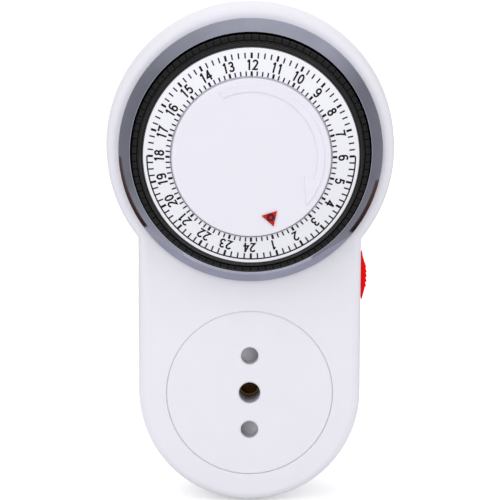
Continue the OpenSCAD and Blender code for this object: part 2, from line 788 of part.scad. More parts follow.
// The tappets of two hours
module tappet_bank(bank) {
    for (i = [0:bank_size - 1]) tappet(bank * bank_size + i);
}

module centre_cap() {
    color(casing_white) upright() at_dial() difference() {
        union() {
            rod(cap_r, cap_back_h, cap_h - cap_edge);
            translate([0, 0, cap_h - cap_edge]) cylinder(r1 = cap_r, r2 = cap_r - cap_edge, h = cap_edge);
            tube(cap_r, cap_r - cap_skirt_t, cap_back_h - cap_skirt_l, cap_back_h + cut);
            rod(post_r + 2, post_top_h, cap_back_h + cut);
            rod(spigot_r, post_top_h - spigot_l, post_top_h + cut);
            turning_arrow();
        }
        translate([0, 0, cap_back_h - cut]) linear_extrude(cap_t + 2 * cut) pointer_outline(seat_gap / 2);
    }
}

// The raised arrow that shows which way the dial is turned
module turning_arrow() {
    rotate([0, 0, arrow_shoulder]) translate([0, 0, cap_h - cut])
        rotate_extrude(angle = arrow_tail - arrow_shoulder)
            polygon([[arrow_inner_r, 0], [arrow_outer_r, 0], [arrow_outer_r, relief + cut],
                     [arrow_inner_r, relief + cut]]);
    head_steps = 8;
    translate([0, 0, cap_h - cut]) linear_extrude(relief + cut)
        polygon(concat([polar(arrow_barb_r, arrow_shoulder)],
                       [for (i = [0:head_steps])
                           let (t = i / head_steps)
                           polar(arrow_outer_r, arrow_shoulder + (arrow_tip - arrow_shoulder) * t)]));
}

// Triangle of the time pointer, grown by a clearance
module pointer_outline(grow) {
    base = pointer_r - grow;
    tip = pointer_r + pointer_l + 2 * grow;
    half = pointer_w / 2 + 1.6 * grow;
    rotate([0, 0, pointer_bearing]) polygon([[base, -half], [tip, 0], [base, half]]);
}

module time_pointer() {
    pip_at = polar(pointer_r + pointer_l / 3, pointer_bearing);
    color("red") upright() at_dial() {
        difference() {
            translate([0, 0, cap_back_h]) linear_extrude(cap_t + relief) pointer_outline(0);
            translate(pip_at) tube(pointer_ring_r, pointer_pip_r, cap_h, cap_h + relief + cut);
        }
    }
}

// ---- Gear train ----

module gear_plate() {
    color("lightgray") upright() at_dial() difference() {
        union() {
            intersection() {
                rod(plate_r, plate_h, plate_top_h);
                translate([-plate_r - 1, -plate_flat, plate_h - cut])
                    cube([2 * plate_r + 2, plate_flat + plate_r + 1, plate_t + 2 * cut]);
            }
            rod(post_foot_r, plate_top_h - cut, drum_foot_h - running);
            rod(post_r, plate_top_h, post_top_h);
        }
        rod(spigot_r + running, post_top_h - spigot_l - 1, post_top_h + cut);
        translate(arbor_at(0)) rod(2, plate_h - cut, plate_top_h + cut);
        for (k = [1:5]) translate(arbor_at(k)) rod(arbor_r, plate_h - cut, plate_top_h + cut);
        translate([0, -centre_gap, 0]) at_plate_screws()
            rod(screw_r + seat_gap, plate_h - cut, plate_top_h + cut);
    }
}

module plate_screws() {
    color("silver") upright() at_plate_screws() difference() {
        union() {
            rod(screw_head_r, plate_top_h, plate_top_h + 1.2);
            rod(screw_r - running, floor_h + 2, plate_top_h + cut);
        }
        for (a = [0, 90]) rotate([0, 0, a])
            translate([-cross_size.x / 2, -cross_size.y / 2, plate_top_h + 0.5]) cube(cross_size);
    }
}

module motor_cup() {
    notch_w = 12;
    color("silver") upright() at_arbor(0) difference() {
        rod(cup_r, floor_h, plate_h);
        rod(cup_r - cup_t, floor_h + cup_t, plate_h + cut);
        rod(arbor_r, floor_h - cut, floor_h + 1);
        translate([-notch_w * 0.6, -cup_r - 1, floor_h + 1.8]) cube([notch_w, 5, 4]);
    }
}

module motor_coil() {
    flange = 0.8;
    top = motor_plate_h - 0.1;
    color("peru") upright() at_arbor(0) rotate_extrude() polygon([
        [coil_bore_r, coil_h], [coil_r, coil_h], [coil_r, coil_h + flange],
        [coil_r - 0.5, coil_h + flange], [coil_r - 0.5, top - flange], [coil_r, top - flange],
        [coil_r, top], [coil_bore_r, top]]);
}

module motor_plate() {
    color("lightgray") upright() at_arbor(0) {
        tube(cup_r - cup_t - running, 2.2, motor_plate_h, motor_plate_h + 0.8);
        for (i = [0:claw_count - 1]) rotate([0, 0, i * 360 / claw_count])
            translate([coil_bore_r - 0.2 - claw_t, -claw_w / 2, motor_plate_h - claw_l])
                cube([claw_t, claw_w, claw_l + cut]);
    }
}

module motor_rotor() {
    color("dimgray") upright() at_arbor(0) difference() {
        union() {
            rod(magnet_r, magnet_h, motor_plate_h - 0.5);
            rod(hub_r, magnet_h, level_h(1));
            rotate([0, 0, arbor_bearings[0] + 180]) small_pinion(level_h(1) - 0.4, level_h(1) + wheel_t);
        }
        rod(arbor_bore_r, magnet_h - cut, level_h(2));
    }
}

// Fixed steel arbors: the rotor's stands in the cup, the others in the gear plate
module train_arbors() {
    color("silver") upright() {
        at_arbor(0) rod(arbor_r, floor_h, level_h(1) + wheel_t + 0.15);
        for (k = [1:4]) at_arbor(k) rod(arbor_r, plate_h, level_h(k + 1) + wheel_t + 0.15);
        at_arbor(5) rod(arbor_r, plate_h, dial_pinion_top_h + 0.3);
    }
}

// A wheel of the train. Its teeth mesh with the pinion before it, and its own pinion,
// where it has one, reaches up to the next level.
module train_wheel(k) {
    teeth = wheel_teeth[k - 1];
    pitch_r = teeth * small_m / 2;
    low = level_h(k);
    at_arbor(k) difference() {
        union() {
            translate([0, 0, low]) linear_extrude(wheel_t)
                rotate([0, 0, arbor_bearings[k - 1] + 180 / teeth])
                    gear_outline(teeth, small_m, -pinion_shift, tooth_play,
                                 [pitch_r - small_m * (1.25 + pinion_shift),
                                  pitch_r + small_m * (1 - pinion_shift)]);
            rod(hub_r, plate_top_h + running, low + cut);
            if (k < 5) rotate([0, 0, arbor_bearings[k] + 180])
                small_pinion(low + wheel_t / 2, level_h(k + 1) + wheel_t);
        }
        rod(arbor_bore_r, plate_top_h, level_h(k + 1) + wheel_t + cut);
        if (k < 5) for (a = [36:72:324]) rotate([0, 0, a]) translate([pitch_r * 0.58, 0, 0])
            rod(pitch_r * 0.16, low - cut, low + wheel_t + cut);
    }
}

module wheel_1() { color("ivory") upright() train_wheel(1); }
module wheel_2() { color("ivory") upright() train_wheel(2); }
module wheel_3() { color("ivory") upright() train_wheel(3); }
module wheel_4() { color("ivory") upright() train_wheel(4); }
module wheel_5() { color("ivory") upright() train_wheel(5); }

// Cupped washer of the slip clutch
module clutch_spring() {
    color("silver") upright() at_arbor(5) rotate_extrude() polygon([
        [arbor_r + 0.3, clutch_h + spring_t - 0.3], [flange_r - 0.3, clutch_h],
        [flange_r - 0.3, clutch_h + 0.25], [arbor_r + 0.3, clutch_h + spring_t - 0.05]]);
}

module dial_pinion() {
    pitch_r = dial_pinion_teeth * ring_m / 2;
    root_r = pitch_r - ring_m * (1.25 - ring_shift);
    tip_r = pitch_r + ring_m * (1 + ring_shift);
    color("ivory") upright() at_arbor(5) difference() {
        union() {
            rod(flange_r, clutch_h + spring_t, dial_pinion_h);
            translate([0, 0, dial_pinion_h - cut]) linear_extrude(dial_pinion_top_h - dial_pinion_h + cut)
                rotate([0, 0, clutch_bearing])
                    gear_outline(dial_pinion_teeth, ring_m, ring_shift, tooth_play,
                                 [root_r, (root_r + pitch_r) / 2, (pitch_r + tip_r) / 2, tip_r]);
        }
        rod(arbor_bore_r, clutch_h, dial_pinion_top_h + cut);
    }
}

// ---- Switch ----

module switch_case() {
    ear_top = pivot_h + pivot_boss_r;
    ear_ys = [lever_y - lever_w / 2 - sliding - ear_t, lever_y + lever_w / 2 + sliding];
    color("dimgray") upright() difference() {
        union() {
            translate([switch_at.x, switch_at.y, switch_foot_h])
                cube([switch_size.x, switch_size.y, switch_top_h - switch_foot_h]);
            for (y = ear_ys) translate([pivot_x - pivot_boss_r, y, switch_top_h - cut])
                cube([2 * pivot_boss_r, ear_t, ear_top - switch_top_h]);
        }
        translate([plunger_x, lever_y, 0]) rod(plunger_r + running, plunger_foot_h - 1.4, switch_top_h + cut);
        pivot_bore(pivot_r);
    }
}

// The lever's pivot hole, along y
module pivot_bore(r) {
    translate([pivot_x, lever_y + lever_w, pivot_h]) rotate([90, 0, 0]) cylinder(r = r, h = 2 * lever_w);
}

module switch_terminals() {
    color("gold") upright() for (x = terminal_xs)
        translate([x - terminal_size.x / 2, switch_at.y - terminal_size.y, terminal_h]) cube(terminal_size);
}

module switch_plunger() {
    color("white") upright() translate([plunger_x, lever_y, 0]) {
        rod(plunger_r, plunger_foot_h, plunger_top_h - plunger_nose);
        translate([0, 0, plunger_top_h - plunger_nose]) cylinder(r1 = plunger_r, r2 = 0.4, h = plunger_nose);
    }
}

module follower_lever() {
    color("ivory") upright() difference() {
        union() {
            translate([nose_at.x - 0.8, lever_y - lever_w / 2, lever_h])
                cube([pivot_x - nose_at.x + 0.8, lever_w, lever_t]);
            translate([pivot_x, lever_y + lever_w / 2, pivot_h])
                rotate([90, 0, 0]) cylinder(r = pivot_boss_r - 0.2, h = lever_w);
            translate([nose_at.x, nose_at.y, lever_h + cut]) rotate([0, 0, station_bearing])
                translate([-nose_l / 2, -nose_w / 2, 0]) cube([nose_l, nose_w, nose_top_h - lever_h - cut]);
        }
        pivot_bore(pivot_r + running);
    }
}

module lever_pin() {
    length = lever_w + 2 * (sliding + ear_t) + 0.6;
    color("silver") upright() translate([pivot_x, lever_y + length / 2, pivot_h])
        rotate([90, 0, 0]) cylinder(r = pivot_r, h = length);
}

// A plate behind the wall, a stem through the slot, and an arched grip that covers the slot
module override_slide() {
    plate_l = stem_l + 2 * (slide_travel + slide_cover + sliding);
    arc_centre = socket_end_r + grip_rise - grip_arc_r;
    grip_foot = socket_end_r + seat_gap;
    half_span = acos((grip_foot - arc_centre) / grip_arc_r);
    color("red") upright() translate([0, grip_at_y, parting_h]) {
        translate([plate_x, -plate_l / 2, -slide_plate_w / 2])
            cube([slide_plate_t, plate_l, slide_plate_w]);
        translate([plate_x + slide_plate_t - cut, -stem_l / 2, -stem_w / 2])
            cube([grip_foot - plate_x - slide_plate_t + 2 * cut, stem_l, stem_w]);
        translate([0, 0, -grip_w / 2]) linear_extrude(grip_w) union() {
            polygon([for (i = [-grip_steps:grip_steps])
                [arc_centre, 0] + polar(grip_arc_r, i * half_span / grip_steps)]);
            for (i = [0:rib_count - 1]) let (y = (i - (rib_count - 1) / 2) * rib_pitch)
                translate([arc_centre + sqrt(pow(grip_arc_r, 2) - y * y) - 0.1, y])
                    circle(r = rib_r, $fn = 24);
        }
    }
}

// ---- Wiring ----

module supply_lead() { color("saddlebrown") upright() swept(supply_route, lead_r, lead_sides); }

module load_lead() { color("saddlebrown") upright() swept(load_route, lead_r, lead_sides); }

module motor_leads() {
    color("steelblue") upright() {
        swept(motor_live_route, lead_r, lead_sides);
        swept(motor_neutral_route, lead_r, lead_sides);
    }
}

front_casing();
rear_casing();
bezel_ring();
case_screws();
socket_face();
socket_shutter();
shutter_spring();
line_contacts();
earth_contact();
plug_base();
line_pins();
earth_pin();
pin_sleeves();
dial_ring();
tappet_carrier();
centre_cap();
time_pointer();
tappet(0);  // tappet_0000
tappet(1);  // tappet_0015
tappet(2);  // tappet_0030
tappet(3);  // tappet_0045
tappet(4);  // tappet_0100
tappet(5);  // tappet_0115
tappet(6);  // tappet_0130
tappet(7);  // tappet_0145
tappet_bank(1);  // tappets_02h
tappet_bank(2);  // tappets_04h
tappet_bank(3);  // tappets_06h
tappet_bank(4);  // tappets_08h
tappet_bank(5);  // tappets_10h
tappet_bank(6);  // tappets_12h
tappet_bank(7);  // tappets_14h
tappet_bank(8);  // tappets_16h
tappet_bank(9);  // tappets_18h
tappet_bank(10);  // tappets_20h
tappet_bank(11);  // tappets_22h
gear_plate();
plate_screws();
motor_cup();
motor_coil();
motor_plate();
motor_rotor();
train_arbors();
wheel_1();
wheel_2();
wheel_3();
wheel_4();
wheel_5();
clutch_spring();
dial_pinion();
switch_case();
switch_terminals();
switch_plunger();
follower_lever();
lever_pin();
override_slide();
supply_lead();
load_lead();
motor_leads();
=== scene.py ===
"""The looks of a plug-in 24 hour segment timer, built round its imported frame.

The frame gives every piece its place. Points are worked out as (x, up, out): x to the right, up
the wall, and out to the user. Lengths are in mm and angles in degrees where nothing else is said.
"""

import json
import logging
import math
from dataclasses import dataclass, field
from enum import Enum

import bmesh
import bpy
import numpy as np
from mathutils import Matrix, Vector

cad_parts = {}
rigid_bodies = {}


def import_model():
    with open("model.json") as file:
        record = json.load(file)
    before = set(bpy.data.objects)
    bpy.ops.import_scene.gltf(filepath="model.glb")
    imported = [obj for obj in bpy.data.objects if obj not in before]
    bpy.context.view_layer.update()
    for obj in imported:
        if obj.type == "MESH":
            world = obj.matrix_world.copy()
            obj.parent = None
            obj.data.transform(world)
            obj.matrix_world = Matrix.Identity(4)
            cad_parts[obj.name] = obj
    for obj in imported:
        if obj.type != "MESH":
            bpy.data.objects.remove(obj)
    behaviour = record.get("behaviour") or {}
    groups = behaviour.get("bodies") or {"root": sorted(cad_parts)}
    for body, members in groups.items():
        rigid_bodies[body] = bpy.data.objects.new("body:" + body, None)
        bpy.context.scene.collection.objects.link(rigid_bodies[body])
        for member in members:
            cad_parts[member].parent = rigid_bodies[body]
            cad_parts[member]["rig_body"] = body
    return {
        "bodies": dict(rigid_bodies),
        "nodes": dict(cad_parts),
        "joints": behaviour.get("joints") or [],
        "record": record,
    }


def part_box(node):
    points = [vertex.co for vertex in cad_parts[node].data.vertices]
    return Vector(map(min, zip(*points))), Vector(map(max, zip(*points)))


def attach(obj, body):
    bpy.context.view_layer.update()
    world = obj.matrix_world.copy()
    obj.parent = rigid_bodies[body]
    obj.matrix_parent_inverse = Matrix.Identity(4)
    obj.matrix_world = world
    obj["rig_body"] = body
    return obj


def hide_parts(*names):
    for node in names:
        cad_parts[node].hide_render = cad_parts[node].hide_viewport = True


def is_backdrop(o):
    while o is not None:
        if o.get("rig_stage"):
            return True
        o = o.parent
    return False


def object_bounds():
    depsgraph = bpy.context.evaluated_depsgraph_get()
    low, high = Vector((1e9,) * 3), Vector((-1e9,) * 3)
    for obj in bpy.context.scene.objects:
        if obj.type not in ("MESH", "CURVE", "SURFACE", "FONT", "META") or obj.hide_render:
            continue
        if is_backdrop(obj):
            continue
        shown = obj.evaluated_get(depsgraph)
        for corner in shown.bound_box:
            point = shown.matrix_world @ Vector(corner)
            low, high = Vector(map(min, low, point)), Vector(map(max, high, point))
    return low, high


LOG = logging.getLogger("segment_timer")
MM = 0.001
MERGE = 2e-7            # points of a new piece that lie this close are one, in metres
CAD_MERGE = 1e-6        # the same for the copy of a node, in metres
LEVEL = 0.01            # how far an edge may lie off a plane and still count as in it
SHARP = 30.0            # edges that turn further than this stay sharp
CLOUDS = (0.3, 0.7)     # values between which most of a noise pattern lies
CLOUD_LAYERS = 3        # finer layers of the clouds in a moulded colour
WAVE_BANDS = 3.18       # bands that a wave pattern shows in one of its lengths
BEVEL_STEPS = 2         # faces across a rounded edge

Colour = tuple[float, float, float]
Point = tuple[float, float, float]
Point2 = tuple[float, float]
Socket = bpy.types.NodeSocket
Piece = bpy.types.Object


class Slot(Enum):
    """The record's material slots, one for each finish."""

    CASING = "casing_white"
    DIAL = "dial_white"
    CAP = "cap_white"
    CHROME = "chrome_plate"
    TAPPET = "tappet_black"
    CARRIER = "carrier_black"
    POINTER = "pointer_red"
    SLIDE = "slide_red"
    SHUTTER = "shutter_grey"
    BRASS = "contact_brass"
    PIN = "pin_nickel"
    SLEEVE = "sleeve_black"
    ZINC = "zinc_steel"
    SPRING = "spring_steel"
    ARBOR = "arbor_steel"
    COIL = "coil_copper"
    MAGNET = "magnet_dark"
    GEAR = "gear_acetal"
    PLATE = "plate_grey"
    SWITCH = "switch_dark"
    PLUNGER = "plunger_white"
    LEAD_BROWN = "lead_brown"
    LEAD_BLUE = "lead_blue"


class Ink(Enum):
    """Finishes that a piece takes instead of its slot's own: the dial's print ink, and colours that
    paint highlights and shade.
    """

    # the socket insert's white, with painted shade inside its holes
    SOCKET = "socket_white"
    DIAL = "dial_ink"
    # a painted highlight along each ridge's crest
    CREST = "crest_wear"
    # painted shade in the groove round the pointer's pip
    RING = "ring_ink"


# ---- Finishes ----

def tone(code: str) -> Colour:
    """Turns a display colour such as "E8E7F1" into linear light.

    Each part p of 0 to 1 becomes ((p + 0.055) / 1.055) ^ 2.4, or p / 12.92 up to 0.04045.

    Args:
        code: Six hexadecimal digits, red first.

    Returns:
        The colour's linear red, green and blue.
    """
    parts = [int(code[i:i + 2], 16) / 255 for i in (0, 2, 4)]
    return tuple(p / 12.92 if p <= 0.04045 else ((p + 0.055) / 1.055) ** 2.4 for p in parts)


def fill(tree: bpy.types.NodeTree, node: bpy.types.Node, inputs: dict) -> bpy.types.Node:
    """Gives a node's inputs what they take.

    Args:
        tree: The node's tree.
        node: The node.
        inputs: For each input, another node's socket or a plain value.

    Returns:
        The node.
    """
    for name, value in inputs.items():
        if isinstance(value, Socket):
            tree.links.new(value, node.inputs[name])
        else:
            node.inputs[name].default_value = value
    return node


def add_node(tree: bpy.types.NodeTree, kind: str, inputs: dict, **options: object) -> bpy.types.Node:
    """Adds a node to a tree.

    Args:
        tree: The tree.
        kind: The node's type, without its leading "ShaderNode".
        inputs: For each input, another node's socket or a plain value.
        **options: The node's own options.

    Returns:
        The node.
    """
    node = tree.nodes.new(f"ShaderNode{kind}")
    for option, value in options.items():
        setattr(node, option, value)
    return fill(tree, node, inputs)


class Bench:
    """A new material and the few steps by which its nodes are joined."""

    def __init__(self, name: str) -> None:
        """Starts an empty material with its shader and Object coordinates.

        Args:
            name: The material's name.
        """
        self.material = bpy.data.materials.new(name)
        self.material.use_nodes = True
        self.tree = self.material.node_tree
        self.shader = self.tree.nodes["Principled BSDF"]
        self.place = self.add("TexCoord").outputs["Object"]

    def add(self, kind: str, inputs: dict | None = None, **options: object) -> bpy.types.Node:
        """Adds a node to the material, as add_node does."""
        return add_node(self.tree, kind, inputs or {}, **options)

    def set(self, **inputs: object) -> None:
        """Sets or joins sockets of the shader. An underscore in a name stands for a space."""
        fill(self.tree, self.shader, {name.replace("_", " "): inputs[name] for name in inputs})

    def noise(self, size: float, detail: float = 2.0, stretch: Point = (1, 1, 1)) -> Socket:
        """Adds a noise pattern.

        Args:
            size: Size of one blot.
            detail: Number of finer layers.
            stretch: How much finer the pattern is along each axis.

        Returns:
            The pattern, about 0.5 on average.
        """
        mapping = self.add("Mapping", {"Scale": stretch, "Vector": self.place})
        return self.add("TexNoise", {"Scale": 1 / (size * MM), "Detail": detail,
                                     "Vector": mapping.outputs["Vector"]}).outputs["Fac"]

    def ramp(self, value: Socket, start: Point2, end: Point2) -> Socket:
        """Carries a value over in a straight line from one pair of limits to another."""
        limits = dict(zip(("From Min", "From Max", "To Min", "To Max"), (*start, *end)))
        return self.add("MapRange", {"Value": value, **limits}).outputs["Result"]

    def blend(self, share: Socket, one: Colour, other: Colour) -> Socket:
        """Mixes two colours by a pattern."""
        return self.add("Mix", {"A": (*one, 1), "B": (*other, 1), "Factor": share},
                        data_type="RGBA").outputs["Result"]

    def sunk(self, colour: Socket, start: float, end: float, share: float) -> Socket:
        """Darkens a colour with depth: painted shade inside holes and recesses.

        Args:
            colour: The colour.
            start: Height out at which it starts to darken.
            end: Height out at which it has done so.
            share: Share of the colour that is left there.

        Returns:
            The darkened colour.
        """
        depth = self.add("SeparateXYZ", {"Vector": self.place}).outputs["Y"]
        left = self.ramp(depth, (-start * MM, -end * MM), (1.0, share))
        return self.add("VectorMath", {0: colour, "Scale": left}, operation="SCALE").outputs["Vector"]

    def relief(self, pattern: Socket, height: float) -> Socket:
        """Raises the surface by a pattern, and returns its new normal."""
        return self.add("Bump", {"Strength": 1.0, "Distance": height * MM,
                                 "Height": pattern}).outputs["Normal"]


@dataclass(frozen=True)
class Finish:
    """What a surface is made of."""

    colour: Colour  # its colour in linear light

    def shade(self, share: float) -> Colour:
        """Returns the colour at a share of its strength."""
        return tuple(c * share for c in self.colour)

    def make(self, name: str) -> bpy.types.Material:
        """Builds the material.

        Args:
            name: Its name.

        Returns:
            The material.
        """
        bench = Bench(name)
        self.dress(bench)
        return bench.material

    def dress(self, bench: Bench) -> None:
        """Joins the finish's nodes on a bench."""
        raise NotImplementedError


@dataclass(frozen=True)
class Moulded(Finish):
    """A moulded plastic. Its colour drifts a little, its skin has the tool's fine grain, and its wells
    can darken it with painted shade.
    """

    roughness: float = 0.4  # its mean roughness
    specular: float = 0.5   # strength of its gloss
    drift: float = 0.04     # share of the colour that is lost where it is darkest
    cloud: float = 9.0      # size of the drift's clouds
    grain: float = 0.35     # size of the grain
    depth: float = 0.006    # height of the grain
    spread: float = 0.15    # share by which the grain varies the roughness
    # Painted shade in each well: the heights out where the colour starts to darken and has done so, and
    # the share of the colour that is left there.
    wells: tuple[tuple[float, float, float], ...] = ()

    def dress(self, bench: Bench) -> None:
        """Joins the clouds, the painted shade of the wells and the grain.

        Args:
            bench: The bench of the new material.
        """
        cloud = bench.ramp(bench.noise(self.cloud, CLOUD_LAYERS), CLOUDS, (0, 1))
        colour = bench.blend(cloud, self.colour, self.shade(1 - self.drift))
        for start, end, share in self.wells:
            colour = bench.sunk(colour, start, end, share)
        grain = bench.noise(self.grain)
        limits = (self.roughness * (1 - self.spread), self.roughness * (1 + self.spread))
        bench.set(Specular_IOR_Level=self.specular, Base_Color=colour,
                  Roughness=bench.ramp(grain, CLOUDS, limits), Normal=bench.relief(grain, self.depth))


@dataclass(frozen=True)
class Plated(Finish):
    """Bright metal or plating, with a faint waviness and a touch of haze."""

    roughness: float = 0.1      # its least roughness
    haze: float = 0.04          # how much rougher it is in its clouds
    dulled: float = 0.9         # share of the colour that is left there
    ripple: float = 6.0         # size of the waves and clouds
    depth: float = 0.004        # height of the waves
    stretch: Point = (1, 1, 1)  # how much finer they are along each axis

    def dress(self, bench: Bench) -> None:
        """Joins the clouds and the waves.

        Args:
            bench: The bench of the new material.
        """
        cloud = bench.noise(self.ripple, stretch=self.stretch)
        colour = bench.blend(bench.ramp(cloud, CLOUDS, (0, 1)), self.colour, self.shade(self.dulled))
        rough = bench.ramp(cloud, CLOUDS, (self.roughness, self.roughness + self.haze))
        bench.set(Metallic=1.0, Base_Color=colour, Roughness=rough,
                  Normal=bench.relief(cloud, self.depth))


@dataclass(frozen=True)
class Wound(Finish):
    """Enamelled wire laid in turns. Rings of one wire's width run round the bobbin."""

    wire: float = 0.35               # width of the wire
    metal: float = 0.7               # how far it looks like bare metal
    enamel: Point2 = (0.4, 0.2)      # weight and roughness of the enamel
    groove: float = 0.45             # painted shade between two turns: the share of the colour that is left there
    depth: float = 0.1               # depth of the grooves
    roughness: Point2 = (0.3, 0.45)  # least and greatest roughness
    cloud: float = 2.0               # size of the clouds in the roughness

    def dress(self, bench: Bench) -> None:
        """Joins the turns of wire, the painted shade between them and the enamel.

        Args:
            bench: The bench of the new material.
        """
        scale = 1 / (self.wire * MM) / WAVE_BANDS
        turns = bench.add("TexWave", {"Scale": scale, "Vector": bench.place},
                          bands_direction="Y").outputs["Fac"]
        bench.set(Metallic=self.metal, Coat_Weight=self.enamel[0], Coat_Roughness=self.enamel[1],
                  Base_Color=bench.blend(turns, self.shade(self.groove), self.colour),
                  Roughness=bench.ramp(bench.noise(self.cloud), CLOUDS, self.roughness),
                  Normal=bench.relief(turns, self.depth))


FINISHES: dict[Slot | Ink, Finish] = {
    Slot.CASING: Moulded(tone("ECEBF4"), roughness=0.38, drift=0.02),
    Slot.DIAL: Moulded(tone("F0F0F7"), roughness=0.42, drift=0.015),
    Slot.CAP: Moulded(tone("EBEAF4"), roughness=0.34, drift=0.015),
    Slot.CHROME: Plated(tone("9C9EAE"), roughness=0.07),
    Slot.TAPPET: Moulded(tone("0E0E0E"), specular=0.22, drift=0.2, depth=0.01),
    Slot.CARRIER: Moulded(tone("121213"), roughness=0.45, specular=0.18, drift=0.15),
    Slot.POINTER: Moulded(tone("C81212"), roughness=0.3, specular=0.25, drift=0.06),
    Slot.SLIDE: Moulded((0.98, 0.0, 0.0), specular=0.08, drift=0.03),
    Slot.SHUTTER: Moulded(tone("F4F1F6"), roughness=0.5, drift=0.06),
    Slot.BRASS: Plated((0.42, 0.25, 0.09), roughness=0.32, haze=0.15, ripple=2),
    Slot.PIN: Plated((0.72, 0.70, 0.66), roughness=0.16, haze=0.12, ripple=2, stretch=(4, 0.3, 4)),
    Slot.SLEEVE: Moulded(tone("2A2A2C"), roughness=0.5, drift=0.15),
    Slot.ZINC: Plated((0.6, 0.61, 0.64), roughness=0.28, haze=0.15, ripple=1),
    Slot.SPRING: Plated((0.6, 0.6, 0.62), roughness=0.25, haze=0.1, ripple=1),
    Slot.ARBOR: Plated((0.66, 0.66, 0.68), roughness=0.2, haze=0.1, ripple=1),
    Slot.COIL: Wound((0.55, 0.24, 0.1)),
    Slot.MAGNET: Moulded(tone("3A3A3E"), roughness=0.6, drift=0.25, depth=0.02),
    Slot.GEAR: Moulded((0.8, 0.79, 0.72), roughness=0.45, drift=0.05),
    Slot.PLATE: Moulded((0.5, 0.51, 0.53), roughness=0.5, drift=0.08),
    Slot.SWITCH: Moulded((0.07, 0.07, 0.08), roughness=0.5, drift=0.2),
    Slot.PLUNGER: Moulded((0.78, 0.78, 0.78)),
    Slot.LEAD_BROWN: Moulded((0.2, 0.075, 0.03), roughness=0.45, drift=0.15),
    Slot.LEAD_BLUE: Moulded((0.04, 0.13, 0.42), roughness=0.45, drift=0.15),
    # The socket insert's white, with painted shade on the walls of its line holes and deep in its earth
    # hole.
    Ink.SOCKET: Moulded(tone("ECEBF4"), roughness=0.38, drift=0.02,
                        wells=((36.7, 35.8, 0.68), (29.5, 27.5, 0.02))),
    Ink.DIAL: Moulded(tone("140C0D"), roughness=0.6, specular=0.2, drift=0.1, grain=0.2),
    # Painted highlight along the ridges' crests, lighter than the black carrier.
    Ink.CREST: Moulded(tone("58585B"), specular=0.3, drift=0.5, grain=0.8),
    # Painted shade in the groove round the pointer's pip.
    Ink.RING: Moulded(tone("63191F"), roughness=0.5, specular=0.2, drift=0.1),
}


class Paintshop:
    """Makes each material once and hands it out again."""

    def __init__(self) -> None:
        """Starts with no materials made."""
        self.made: dict[Slot | Ink, bpy.types.Material] = {}

    def of(self, kind: Slot | Ink) -> bpy.types.Material:
        """Hands out a material, which is made when it is first asked for.

        Args:
            kind: A slot or an ink.

        Returns:
            Its material.
        """
        if kind not in self.made:
            self.made[kind] = FINISHES[kind].make(kind.value)
        return self.made[kind]


# ---- Surfaces ----

def in_frame(points: np.ndarray) -> np.ndarray:
    """Turns (x, up, out) into the frame's metres: x stays, up is Z and out is -Y."""
    return np.stack([points[..., 0], -points[..., 2], points[..., 1]], axis=-1) * MM


def joined(*parts: np.ndarray | float) -> np.ndarray:
    """Spreads coordinates over one grid and joins them into points."""
    return np.stack(np.broadcast_arrays(*parts), axis=-1)


def circling(radius: np.ndarray, bearing: np.ndarray, out: np.ndarray, up: float = 0.0) -> np.ndarray:
    """Points about an out axis: at radius r and bearing a, (r cos a, up + r sin a, out)."""
    a = np.radians(bearing)
    return joined(radius * np.cos(a), up + radius * np.sin(a), out)


def grid_quads(rows: int, columns: int, round_rows: bool, round_columns: bool) -> np.ndarray:
    """Numbers the faces of a grid of points, each between one row and column and the next.

    Args:
        rows: Rows of points.
        columns: Points in each row.
        round_rows: Whether the last row joins the first.
        round_columns: Whether the last point of a row joins its first.

    Returns:
        The faces' corners, four to a face.
    """
    i = np.arange(rows if round_rows else rows - 1)[:, None]
    j = np.arange(columns if round_columns else columns - 1)[None, :]
    below, beside = (i + 1) % rows, (j + 1) % columns
    corners = [i * columns + j, below * columns + j, below * columns + beside, i * columns + beside]
    return joined(*corners).reshape(-1, 4)


def revolved(profile: np.ndarray, steps: int) -> tuple[np.ndarray, np.ndarray]:
    """Turns a closed profile about the out axis.

    A point of radius r and height h goes to (r cos a, r sin a, h) for each bearing a.

    Args:
        profile: Corners of the closed profile, as (radius, out).
        steps: Steps round the circle.

    Returns:
        The points, as (x, up, out) about the axis, and the faces.
    """
    bearing = np.linspace(0, 360, steps, endpoint=False)[None, :]
    points = circling(profile[:, :1], bearing, profile[:, 1:])
    return points.reshape(-1, 3), grid_quads(len(profile), steps, True, True)


def arc(centre: Point2, reach: float, rise: float, start: float, end: float, steps: int) -> np.ndarray:
    """Points along an upright ellipse about a centre, from one bearing to another.

    Args:
        centre: Its centre.
        reach: Half its width.
        rise: Half its height.
        start: Bearing of the first point.
        end: Bearing of the last.
        steps: Steps between them.

    Returns:
        The points.
    """
    a = np.radians(np.linspace(start, end, steps + 1))
    return joined(centre[0] + reach * np.cos(a), centre[1] + rise * np.sin(a))


def curve(start: np.ndarray, pull: np.ndarray, end: np.ndarray, t: np.ndarray) -> np.ndarray:
    """Points A to B that bend towards P: (1 - t)^2 A + 2 t (1 - t) P + t^2 B."""
    return (1 - t) ** 2 * start + 2 * t * (1 - t) * pull + t ** 2 * end


def filleted(corners: list[Point], steps: int = 6) -> np.ndarray:
    """Rounds the corners of a closed profile.

    The curve at a corner leaves one side and meets the next, both at the corner's cut from it.

    Args:
        corners: Radius, out and cut of each corner. A cut of 0 leaves it sharp.
        steps: Points on each curve.

    Returns:
        The profile's points, as (radius, out).
    """
    table = np.array(corners, dtype=float)
    corner, cut = table[:, :2], table[:, 2:]
    back, ahead = np.roll(corner, 1, 0) - corner, np.roll(corner, -1, 0) - corner
    a = corner + cut * back / np.linalg.norm(back, axis=1, keepdims=True)
    b = corner + cut * ahead / np.linalg.norm(ahead, axis=1, keepdims=True)
    t = np.linspace(0, 1, steps)[None, :, None]
    return curve(a[:, None], corner[:, None], b[:, None], t).reshape(-1, 2)


